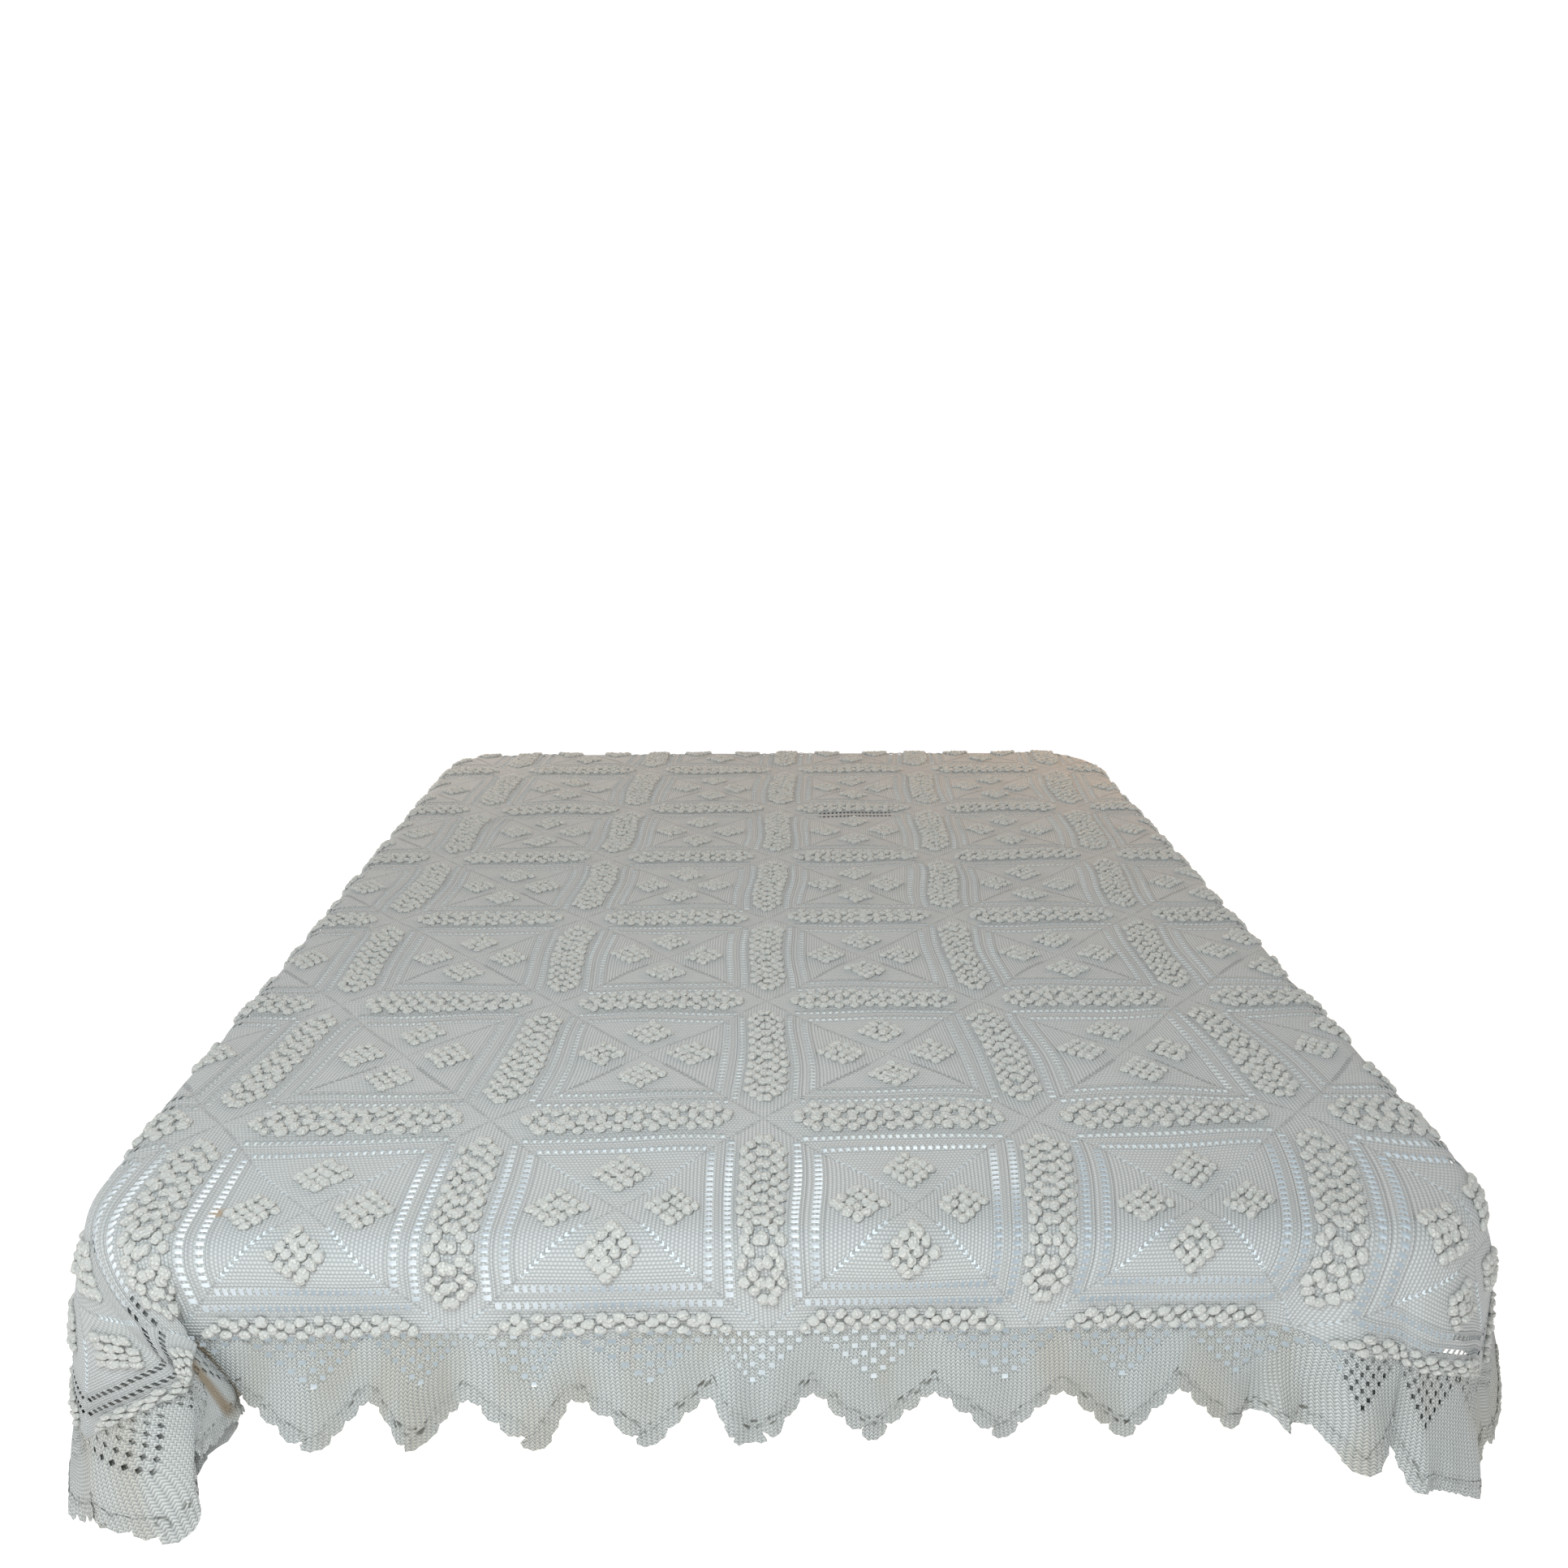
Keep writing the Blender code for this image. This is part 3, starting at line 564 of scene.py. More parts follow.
def bobble_tree():
    """Puts a low rounded bobble at each point, turned as the point says and a little uneven."""
    tree, given, made = new_tree("grow_bobbles", Float=("Width", "Length", "Height", "Unevenness", "Lumps"),
                                 Int=("Seed",), Material=("Thread",))
    width, length, tall, uneven = (Value(tree, given[name]) for name in ("Width", "Length", "Height", "Unevenness"))
    ball = add(tree, "GeometryNodeMeshIcoSphere", {"Radius": 1.0, "Subdivisions": 2})
    up = axes(tree, add(tree, "GeometryNodeInputPosition").outputs[0])[2]
    below = add(tree, "FunctionNodeCompare", {0: up, 1: BOBBLE_CUT}, operation="LESS_THAN")
    dome = add(tree, "GeometryNodeDeleteGeometry", {"Geometry": ball.outputs["Mesh"], "Selection": below.outputs[0]},
               domain="POINT")
    # The height in the ball, which the bobbles' material uses for painted shade near the ground.
    rise = add(tree, "GeometryNodeStoreNamedAttribute", {"Geometry": dome.outputs[0], "Name": "rise", "Value": up},
               data_type="FLOAT", domain="POINT")
    size = add(tree, "ShaderNodeCombineXYZ", {0: length * 0.5, 1: width * 0.5, 2: tall})
    lift = add(tree, "ShaderNodeCombineXYZ", {2: tall * BOBBLE_STAND})
    shaped = add(tree, "GeometryNodeTransform", {"Geometry": rise.outputs[0], "Translation": lift.outputs[0],
                                                 "Scale": size.outputs[0]})
    sway = number(tree, "FunctionNodeRandomValue", 1, {2: -BOBBLE_SWAY, 3: BOBBLE_SWAY, "Seed": given["Seed"]},
                  data_type="FLOAT")
    rotation = add(tree, "ShaderNodeCombineXYZ", {2: Value(tree, stored(tree, "turn")) + sway})
    spread = add(tree, "FunctionNodeRandomValue", {0: 1.0 - uneven, 1: uneven + 1.0, "Seed": given["Seed"]},
                 data_type="FLOAT_VECTOR")
    on_points = add(tree, "GeometryNodeInstanceOnPoints",
                    {"Points": given["Geometry"], "Instance": shaped.outputs[0],
                     "Rotation": rotation.outputs[0], "Scale": spread.outputs[0]})
    real = add(tree, "GeometryNodeRealizeInstances", {"Geometry": on_points.outputs[0]})
    lump = add(tree, "ShaderNodeTexNoise", {"Scale": 170.0, "Detail": 1.0})
    centred = add(tree, "ShaderNodeVectorMath", {0: lump.outputs["Color"], 1: (0.5, 0.5, 0.5)},
                  operation="SUBTRACT")
    push = add(tree, "ShaderNodeVectorMath", {0: centred.outputs[0], "Scale": given["Lumps"]}, operation="SCALE")
    lumpy = add(tree, "GeometryNodeSetPosition", {"Geometry": real.outputs[0], "Offset": push.outputs[0]})
    return end_tree(tree, lumpy.outputs[0], given["Thread"], made)


def shell_tree():
    """Puts a fan of stitches at each point of the lace's edge, turned and sized as the point says."""
    tree, given, made = new_tree("sew_shells", Object=("Shell",), Material=("Thread",))
    shell = add(tree, "GeometryNodeObjectInfo", {"Object": given["Shell"]})
    rotation = add(tree, "ShaderNodeCombineXYZ", {2: stored(tree, "turn")})
    scale = add(tree, "ShaderNodeCombineXYZ", dict.fromkeys(range(3), stored(tree, "size")))
    on_points = add(tree, "GeometryNodeInstanceOnPoints",
                    {"Points": given["Geometry"], "Instance": shell.outputs["Geometry"],
                     "Rotation": rotation.outputs[0], "Scale": scale.outputs[0]})
    return end_tree(tree, on_points.outputs[0], given["Thread"], made)


# ---------------------------------------------------------------- materials

MM = 1000                   # the patterns of the materials are worked out in millimetres
BLOCK_MM = BLOCK * MM
LADDER_MM = LADDER_WIDTH * BLOCK_MM
CROCHETED = {"Roughness": 0.92, "Sheen Weight": 0.15, "Specular IOR Level": 0.25}
MITRE_EYELETS = ((0.085, 0.272), (0.405, 0.47))         # where the mitres have them, in blocks from the middle
FOOT_ROW = (0.13, 0.22)     # painted light over the foot edge, in the eyelets and on the cover, fades out between these distances behind it
# The stain: its middle, and the distances between which it ends.
STAIN_AT = (-0.635, -0.939, MATTRESS_HIGH.z)
STAIN_EDGE = (0.010, 0.018)
# The tuck, as seen from the foot: its top, the ways down it and across it, how far it lies across and where its
# half width ends, and how far down its middle lies and where its half length ends.
TUCK_TOP = (-0.6424, 0.0, 0.4366)
TUCK_DOWN, TUCK_ACROSS = (0.570, 0.0, -0.822), (0.822, 0.0, 0.570)
TUCK_SHIFT, TUCK_EDGE = -0.002, (0.0015, 0.0075)
TUCK_MIDDLE, TUCK_ENDS = 0.036, (0.030, 0.048)
# The painted dark shadow on the cover under a far block: its middle, and where its half width and half length end.
PAINTED_SHADOW_AT = (0.172, 0.496)
PAINTED_SHADOW_WIDE, PAINTED_SHADOW_LONG = (0.070, 0.085), (0.046, 0.056)
RIM_SLITS = ((14.0, 0.0), (20.0, 0.5))       # rows of slits, painted dark as shade seen through them: millimetres up from the rim, and shift along it


def new_material(name):
    """An empty material with its output and one Principled shader."""
    material = bpy.data.materials.new(name)
    material.use_nodes = True
    material.node_tree.nodes.clear()
    shader = add(material.node_tree, "ShaderNodeBsdfPrincipled")
    add(material.node_tree, "ShaderNodeOutputMaterial", {"Surface": shader.outputs[0]})
    return material, material.node_tree, shader


def finished(material, shader, colour, height, bump, surface):
    """Link a material's colour and its relief (the bump's strength and depth), and set its constants."""
    strength, depth = bump
    relief = add(material.node_tree, "ShaderNodeBump", {"Strength": strength, "Distance": depth, "Height": height})
    material.node_tree.links.new(colour, shader.inputs["Base Color"])
    material.node_tree.links.new(relief.outputs[0], shader.inputs["Normal"])
    for name, value in surface.items():
        shader.inputs[name].default_value = value
    return material


def spot(value, low, high):
    """1 at `low` and below, 0 at `high` and above, with a soft step between."""
    return number(value.tree, "ShaderNodeMapRange", 0,
                  {"Value": value, "From Min": low, "From Max": high, "To Min": 1.0, "To Max": 0.0},
                  interpolation_type="SMOOTHSTEP")


def band(value, middle, ends):
    """1 near `middle`, falling to 0 between two distances from it."""
    return spot(abs(value - middle), *ends)


def mix_colour(tree, factor, first, second):
    """Two colours mixed by a factor; each may be a linked output or a linear colour."""
    first, second = (colour if isinstance(colour, bpy.types.NodeSocket) else (*colour, 1.0)
                     for colour in (first, second))
    return add(tree, "ShaderNodeMix", {"Factor": factor, 6: first, 7: second}, data_type="RGBA").outputs[2]


def dimmed(colour, part):
    """A plain colour with part of its brightness."""
    return tuple(part * c for c in colour)


def drift(tree, cloth):
    """The slow change of a cotton's tone over the cloth."""
    return number(tree, "ShaderNodeTexNoise", "Fac", {"Vector": cloth, "Scale": 3.0, "Detail": 3.0})


def foot_row(tree, cloth):
    """1 over the foot edge of the bed, 0 behind the first row of blocks."""
    return spot(axes(tree, cloth)[1], *(MATTRESS_LOW.y + behind for behind in FOOT_ROW))


def stained(tree, cloth, colour, sizes):
    """The colour with the small brown spot of a spill near the left foot corner."""
    ragged = number(tree, "ShaderNodeTexNoise", "Fac", {"Vector": cloth, "Scale": 190.0, "Detail": 1.0})
    away = number(tree, "ShaderNodeVectorMath", "Value", {0: cloth, 1: STAIN_AT}, operation="DISTANCE")
    return mix_colour(tree, spot(away + ragged * 0.012, *STAIN_EDGE) * 0.6, colour, sizes.stain)


def crochet_ground(sizes):
    """Crocheted cotton, worked in rounds from the middle of each block: matt, with small dimples between
    stitches, a groove along the mitres and slanting eyelets on them. Pale grey-blue, a little uneven. Painted shade
    darkens the dimples, the groove and the ladders' bars; the mitres' eyelets are painted, bluish white over the foot
    edge as painted light and darker behind it as painted shade."""
    material, tree, shader = new_material("crocheted_cotton_ground")
    stitch = sizes.stitch * MM
    u, v, _ = axes(tree, add(tree, "ShaderNodeUVMap", uv_map="block_mm").outputs[0])
    size_u, size_v = abs(u), abs(v)
    out = maths(tree, "MAXIMUM", size_u, size_v)
    along = number(tree, "ShaderNodeMix", 0, {0: size_u > size_v, 2: u, 3: v}, data_type="FLOAT")
    rounds = out / stitch
    row = maths(tree, "FLOOR", rounds)
    in_row = rounds - row - 0.5
    in_stitch = maths(tree, "FRACT", along / stitch + maths(tree, "MODULO", row, 2.0) * 0.5) - 0.5
    bump = spot(maths(tree, "SQRT", in_row * in_row + in_stitch * in_stitch), 0.12, 0.62)
    ridge = 1.0 - in_row * in_row * 4.0

    from_mitre = abs(size_u - size_v)
    groove = spot(from_mitre, 0.8, 3.0)
    steps = maths(tree, "FRACT", out / (sizes.mitre_step * MM)) - 0.5
    slot = spot(abs(steps), 0.20, 0.30) * spot(from_mitre, 3.4, 4.6)
    inner, outer = ((out > start * BLOCK_MM) * (out < end * BLOCK_MM) for start, end in MITRE_EYELETS)
    eyelet = slot * maths(tree, "MAXIMUM", inner * ((v < 0.0) * 0.55 + 0.45), outer * 0.45)
    bars, cords = 0.0, 0.0
    for ladder in LADDERS:
        off = abs(out - ladder * BLOCK_MM)
        bars = spot(off, 0.45 * LADDER_MM, 0.60 * LADDER_MM) + bars
        cords = band(off, 0.5 * LADDER_MM + 2.4, (0.6, 2.2)) + cords
    height = bump * 0.7 + ridge * 0.3 - groove * 0.5 - eyelet * 1.2 + cords * 0.9

    cloth = add(tree, "ShaderNodeTexCoord").outputs["Object"]
    tone = mix_colour(tree, drift(tree, cloth), sizes.ground_cool, sizes.ground_warm)
    # Painted shade in the dimples between stitches.
    dimple_shade = mix_colour(tree, bump, dimmed(sizes.ground_cool, 0.70), tone)
    # Painted shade on the bars between the ladders' eyelets and in the groove along the mitres.
    dark = maths(tree, "MAXIMUM", bars * 0.08, groove * 0.30)
    bar_and_groove_shade = mix_colour(tree, dark, dimple_shade, dimmed(sizes.ground_cool, 0.45))
    # The mitres' eyelets are painted: bluish white over the foot edge as painted light, darker behind it as painted
    # shade.
    through = mix_colour(tree, foot_row(tree, cloth), dimmed(sizes.ground_cool, 0.62), sizes.eyelet_painted_light)
    seen = stained(tree, cloth, mix_colour(tree, eyelet, bar_and_groove_shade, through), sizes)
    return finished(material, shader, seen, height, (1.0, 0.0011), CROCHETED)


def crochet_bobbles(sizes):
    """The same cotton in thick clusters of loops: creamier on top, with painted shade where a bobble meets the ground
    and in the crevices between its loops.
    """
    material, tree, shader = new_material("crocheted_cotton_bobbles")
    # Painted shade where each bobble meets the ground: its lower part is darkened.
    top = spot(number(tree, "ShaderNodeAttribute", "Fac", attribute_name="rise"), 0.30, -0.45)
    cloth = add(tree, "ShaderNodeTexCoord").outputs["Object"]
    threads = number(tree, "ShaderNodeTexNoise", "Fac", {"Vector": cloth, "Scale": 420.0, "Detail": 2.0})
    loop = spot(number(tree, "ShaderNodeTexVoronoi", "Distance", {"Vector": cloth, "Scale": 230.0}), 0.25, 0.80)
    tone = mix_colour(tree, drift(tree, cloth), sizes.bobble_cool, sizes.bobble_warm)
    # Painted shade in the crevices between a bobble's loops.
    tone = mix_colour(tree, loop, dimmed(sizes.bobble_cool, 0.86), tone)
    seen = stained(tree, cloth, mix_colour(tree, top, dimmed(sizes.bobble_cool, 0.72), tone), sizes)
    return finished(material, shader, seen, loop + threads * 0.6, (0.9, 0.0015), CROCHETED)


def tucked(tree, cloth, colour, sizes):
    """The colour with the brown shadow that runs down the tuck at the left foot corner."""
    place_in = add(tree, "ShaderNodeVectorMath", {0: cloth, 1: TUCK_TOP}, operation="SUBTRACT").outputs[0]
    along, away = (number(tree, "ShaderNodeVectorMath", "Value", {0: place_in, 1: way}, operation="DOT_PRODUCT")
                   for way in (TUCK_DOWN, TUCK_ACROSS))
    deep = band(away, TUCK_SHIFT, TUCK_EDGE) * band(along, TUCK_MIDDLE, TUCK_ENDS)
    deep *= axes(tree, cloth)[1] < MATTRESS_LOW.y + 0.05
    return mix_colour(tree, deep * 0.8, colour, sizes.tuck)


def crochet_lace(sizes):
    """The same cotton worked in ribs that run down the edging: braids of slanting stitches, yellowed in streaks,
    with painted shade between the ribs and stitches and slits along the rim painted dark as shade.
    """
    material, tree, shader = new_material("crocheted_cotton_lace")
    x, y, _ = axes(tree, add(tree, "ShaderNodeUVMap", uv_map="lace_mm").outputs[0])
    cloth = add(tree, "ShaderNodeTexCoord").outputs["Object"]
    bend = number(tree, "ShaderNodeTexNoise", "Fac", {"Vector": cloth, "Scale": 9.0, "Detail": 1.0})
    in_rib = maths(tree, "FRACT", x / (sizes.rib * MM) + bend * 5.0) - 0.5
    in_stitch = maths(tree, "FRACT", y / (0.75 * sizes.rib * MM) + abs(in_rib) * 1.5) - 0.5
    height = (1.0 - in_rib * in_rib * 4.0) * 0.42 + (1.0 - in_stitch * in_stitch * 4.0) * 0.58
    broad = drift(tree, cloth)
    tone = mix_colour(tree, broad, sizes.lace_cool, sizes.lace_warm)
    stretch = add(tree, "ShaderNodeMapping", {"Vector": cloth, "Scale": (16.0, 16.0, 5.0)}).outputs[0]
    streaks = number(tree, "ShaderNodeTexNoise", "Fac", {"Vector": stretch, "Scale": 1.0, "Detail": 2.0})
    tone = mix_colour(tree, spot(streaks, 0.30, 0.60) * 0.55, tone, sizes.lace_aged)
    # Painted shade in the grooves between the ribs and between the stitches.
    shade = mix_colour(tree, height, dimmed(sizes.lace_cool, 0.54), tone)
    along, up, _ = axes(tree, add(tree, "ShaderNodeUVMap", uv_map="rim_mm").outputs[0])
    uneven = number(tree, "ShaderNodeTexNoise", "Fac", {"Vector": cloth, "Scale": 45.0, "Detail": 1.0})
    # Painted shade: the slits along the rim are painted dark, as shade seen through them.
    for above, shift in RIM_SLITS:
        near = band(up, broad * 5.0 + (above - 2.5), (1.0, 2.3))
        turn = maths(tree, "FRACT", along / 13.5 + shift)
        slit_painted_shade = near * band(turn, 0.5, (0.20, 0.34)) * spot(uneven, 0.72, 0.44)
        shade = mix_colour(tree, slit_painted_shade, shade, sizes.slit_painted_shade)
    return finished(material, shader, tucked(tree, cloth, shade, sizes), height, (1.0, 0.0022), CROCHETED)


def cover_cotton(sizes):
    """Bleached woven cotton of the mattress cover, with a fine weave and slack wrinkles, and painted light and shade:
    painted shade makes it greyer under the cloth, and painted light makes it bluish white over the foot edge, where it
    shows through the eyelets. Under two ladders in a far block a dark shadow is painted on it. The cover also glows,
    as painted light."""
    material, tree, shader = new_material("woven_cotton_cover")
    cloth = add(tree, "ShaderNodeTexCoord").outputs["Object"]
    x, y, z = axes(tree, cloth)
    weave = number(tree, "ShaderNodeTexNoise", "Fac", {"Vector": cloth, "Scale": 900.0, "Detail": 1.0})
    slack = number(tree, "ShaderNodeTexNoise", "Fac",
                   {"Vector": cloth, "Scale": 5.0, "Detail": 3.0, "Distortion": 0.6})
    # Patches of painted light and painted shade on the cover.
    patches = number(tree, "ShaderNodeTexNoise", "Fac", {"Vector": cloth, "Scale": 3.6, "Detail": 1.0})
    # Painted shade on the cover's lower sides and towards the bed's right-hand side.
    shadow = spot(z, MATTRESS_HIGH.z - 0.19, MATTRESS_HIGH.z - 0.10) * 0.55
    shadow = maths(tree, "MAXIMUM", shadow, 1.0 - spot(x, 0.20, 0.60))
    lit = spot(patches, 0.60, 0.40) * (1.0 - shadow)
    # Over the foot edge: painted light, in lit and shaded patches.
    painted_light_and_shade = mix_colour(tree, lit, sizes.cover_dim, sizes.cover_light)
    # A painted dark shadow on the cover under two ladders in a far block.
    shadow_patch = band(x, PAINTED_SHADOW_AT[0], PAINTED_SHADOW_WIDE) * band(y, PAINTED_SHADOW_AT[1], PAINTED_SHADOW_LONG)
    # Under the cloth: painted shade, darker in patches and near black in the painted shadow.
    behind = mix_colour(tree, patches, dimmed(sizes.cover_painted_shade, 0.84), sizes.cover_painted_shade)
    behind = mix_colour(tree, shadow_patch, behind, dimmed(sizes.cover_painted_shade, 0.08))
    # The glow is painted light: dim under the cloth, none in the painted shadow, and the lit colour over the foot
    # edge.
    painted_glow_colour = mix_colour(tree, shadow_patch, dimmed(sizes.cover_painted_shade, 0.62), (0.0, 0.0, 0.0))
    front = foot_row(tree, cloth)
    tree.links.new(mix_colour(tree, front, painted_glow_colour, painted_light_and_shade), shader.inputs["Emission Color"])
    return finished(material, shader, mix_colour(tree, front, behind, painted_light_and_shade), weave * 0.1 + slack, (0.5, 0.004),
                    {"Emission Strength": sizes.cover_painted_glow, "Roughness": 0.8, "Sheen Weight": 0.1})


def pale_wood(sizes):
    """Limed pale softwood: chalky white in the grain, so its lines show only softly."""
    material, tree, shader = new_material("limed_pine")
    cloth = add(tree, "ShaderNodeTexCoord").outputs["Object"]
    stretch = add(tree, "ShaderNodeMapping", {"Vector": cloth, "Scale": (14.0, 1.2, 14.0)}).outputs[0]
    grain = number(tree, "ShaderNodeTexNoise", "Fac",
                   {"Vector": stretch, "Scale": 4.0, "Detail": 6.0, "Distortion": 0.8})
    tone = mix_colour(tree, grain, sizes.wood_dark, sizes.wood_light)
    return finished(material, shader, tone, grain, (0.25, 0.0006), {"Roughness": 0.5})


# ---------------------------------------------------------------- settings

def colour_setting(name, description, code):
    """A colour property with an sRGB hex colour as its default."""
    return bpy.props.FloatVectorProperty(name=name, description=description, default=linear(code), subtype="COLOR")


def length_setting(name, description, default):
    """A property in metres."""
    return bpy.props.FloatProperty(name=name, description=description, default=default, unit="LENGTH")


def share_setting(name, description, default):
    """A property between 0 and 1."""
    return bpy.props.FloatProperty(name=name, description=description, default=default, subtype="FACTOR")


class BedspreadSettings(bpy.types.PropertyGroup):
    """Sizes and colours of the crochet and the bed."""
    stitch: length_setting("Stitch", "Width of one stitch", STITCH)
    mitre_step: length_setting("Mitre step", "From one mitre eyelet to the next", 0.0056)
    eyelet_along: share_setting("Eyelet width", "Open part of an eyelet's cell, along its ladder", 0.55)
    eyelet_across: share_setting("Eyelet length", "Open part of an eyelet's cell, across its ladder", 0.84)
    filet_open: share_setting("Filet opening", "Open part of a filet hole's cell", 0.62)
    bobble_width: length_setting("Bobble width", "Across the rows", 0.0132)
    bobble_length: length_setting("Bobble length", "Along the rounds", 0.0148)
    bobble_height: length_setting("Bobble height", "Above the ground", 0.0046)
    lumps: length_setting("Lumps", "How far the thread pushes a bobble out of round", 0.0055)
    unevenness: share_setting("Unevenness", "Spread of the bobbles' sizes", 0.14)
    rib: length_setting("Rib", "From one rib of the lace to the next", 0.0052)
    ground_cool: colour_setting("Ground, cool", "Cooler tone of the ground", "#C8CCCC")
    ground_warm: colour_setting("Ground, warm", "Warmer tone of the ground", "#CFCFCA")
    # Painted light: the bright bluish white of the mitres' painted eyelets over the foot edge.
    eyelet_painted_light: colour_setting("Mitre eyelets", "Cover seen through the mitres", "#E6F0F4")
    tuck: colour_setting("Tuck", "Brown shadow in the corner's tuck", "#8C7656")
    stain: colour_setting("Stain", "Colour of the small stain", "#B08D5E")
    bobble_cool: colour_setting("Bobbles, cool", "Cooler tone of the bobbles", "#CDCFCB")
    bobble_warm: colour_setting("Bobbles, warm", "Warmer tone of the bobbles", "#D2D0C8")
    lace_cool: colour_setting("Lace, cool", "Cooler tone of the lace", "#C9D0D0")
    lace_aged: colour_setting("Lace, aged", "Yellowed streaks in the lace", "#C2BAA8")
    lace_warm: colour_setting("Lace, warm", "Warmer tone of the lace", "#D0D1CB")
    # Painted shade: the dark colour of the slits, as shade seen through them.
    slit_painted_shade: colour_setting("Slits", "Depth of the narrow slits along the rim", "#65655D")
    # Lit and shaded copies of the cover's white: painted light and painted shade.
    cover_light: colour_setting("Cover", "Bleached cotton", "#F2F8FC")
    cover_dim: colour_setting("Cover, in shadow", "Duller patches of the cover", "#BFC9D0")
    # Painted shade: the cover's white, greyed where it lies under the cloth.
    cover_painted_shade: colour_setting("Cover, under the cloth", "Greyer tone of the cover", "#DFE4E4")
    # Painted light: the cover glows, though it is no lamp.
    cover_painted_glow: bpy.props.FloatProperty(name="Cover glow", description="Light given back by the brightener",
                                        default=0.50)
    wood_light: colour_setting("Wood", "Lighter grain", "#EFE8DB")
    wood_dark: colour_setting("Wood, dark grain", "Darker grain", "#E2D6C2")


class StageSettings(bpy.types.PropertyGroup):
    """Camera, floor and lights."""
    lens: bpy.props.FloatProperty(name="Lens", description="Focal length in millimetres", default=29.81)
    floor: colour_setting("Floor", "Colour of the floor", "#C8C8C8")
    floor_glow: bpy.props.FloatProperty(name="Floor glow", description="Light that the floor gives back evenly, "
                                        "as a lit studio sweep does", default=0.74)
    walls: bpy.props.FloatProperty(name="Walls", description="Strength of the light near the horizon", default=1.02)
    ceiling: bpy.props.FloatProperty(name="Ceiling", description="Strength of the light from overhead",
                                     default=0.34)
    lights: bpy.props.FloatProperty(name="Lights", description="Strength of all the lamps together", default=1.0)


# The camera: blocks across from the foot edge's middle, back from it and up, and degrees down and to the left.
CAMERA_AT = (-0.098, 3.722, 2.710)
CAMERA_DOWN, CAMERA_TURN = 16.586, -1.05
SKY_STEP = (0.30, 0.62)     # the sky changes from the walls to the ceiling between these heights
# The studio lamps: a cool soft key before and above the foot, and warm glows beyond the two head corners.
Lamp = namedtuple("Lamp", "name watts size colour at towards")
STAGE_LIGHTS = (
    Lamp("key_light", 29.5, 0.8, "#F0F8FC", (-0.48, -1.90, 2.12), (-0.15, -0.9, 0.5)),
    Lamp("warm_right", 9.0, 0.4, "#FFC078", (1.35, 1.55, 1.25), (0.4, 0.7, 0.5)),
    Lamp("warm_left", 9.0, 0.5, "#FFE6D2", (-1.35, 1.55, 1.25), (-0.4, 0.7, 0.5)),
)


# ---------------------------------------------------------------- pieces

def block_lines():
    """Lines of the ground's mesh in one block, in blocks from its middle, with one cell a pair of stitches
    and one the width of each ladder."""
    first, second = LADDERS
    half = [*np.linspace(0.0, first - LADDER_WIDTH / 2, 12),
            first + LADDER_WIDTH / 2,
            second - LADDER_WIDTH / 2,
            *np.linspace(second + LADDER_WIDTH / 2, 0.5, 5)]
    return np.array([-value for value in half[:0:-1]] + half)


def all_lines(blocks, start):
    """The same lines over a row of blocks, in metres."""
    one = block_lines()
    lines = [start + block + 0.5 + one[:-1] for block in range(blocks)]
    return np.append(np.concatenate(lines), start + blocks) * BLOCK


def block_middle(places):
    """The middle of the block that each flat place is in."""
    across = np.clip(np.floor(places[:, 0] / BLOCK), -BLOCKS_WIDE / 2, BLOCKS_WIDE / 2 - 1) + 0.5
    along = np.clip(np.floor(places[:, 1] / BLOCK), 0, BLOCKS_LONG - 1) + 0.5
    return np.stack([across, along], -1) * BLOCK


class MESH_OT_crochet_ground(bpy.types.Operator):
    """Make the ground of the blocks, one sheet with its ladders of eyelets open"""
    bl_idname = "mesh.crochet_ground"
    bl_label = "Ground"

    def execute(self, context):
        sizes = context.scene.bedspread
        x, y = all_lines(BLOCKS_WIDE, -BLOCKS_WIDE / 2), all_lines(BLOCKS_LONG, 0)
        points = np.stack(np.meshgrid(x, y, indexing="ij"), -1)
        middles = (points[:-1, :-1] + points[1:, 1:]) / 2
        local = middles - block_middle(middles.reshape(-1, 2)).reshape(middles.shape)
        ring, along = np.abs(local).max(-1) / BLOCK, np.abs(local).min(-1) / BLOCK
        holes = np.zeros(ring.shape)
        for ladder in LADDERS:
            holes += (np.abs(ring - ladder) < LADDER_WIDTH / 4) & (along < ladder - LADDER_WIDTH / 2)
        sideways = np.abs(local[..., 0]) > np.abs(local[..., 1])
        runs = np.where(sideways[..., None], (0.0, 1.0, 0.0), (1.0, 0.0, 0.0)) * holes[..., None]
        mesh = flat_grid("flat_ground", points, runs)
        ground = grown(mesh, "crochet_ground", eyelet_tree(),
                       {"Open Along": sizes.eyelet_along, "Open Across": sizes.eyelet_across,
                        "Lip": GROUND_LIP, "Thread": crochet_ground(sizes)})
        corners, faces = corner_places(ground.data)
        write_uv(ground.data, "block_mm", (corners[:, :2] - block_middle(faces)) * MM)
        place(ground.data, drape_panel(coordinates(ground.data)))
        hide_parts("bedspread_panel")
        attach(ground, "root")
        return {"FINISHED"}


def diamond_points():
    """Flat places and turns of the bobbles in the four diamonds of every block."""
    places = []
    for step_x in range(4):
        for step_y in range(4):
            offset = np.array([step_x - step_y, step_x + step_y - 3]) * DIAMOND_STEP
            for side in ((1, 0), (-1, 0), (0, 1), (0, -1)):
                middle = np.array(side) * DIAMOND_AT
                places.append([*(middle + offset), 0.0 if side[0] == 0 else math.pi / 2])
    return every_block(places)


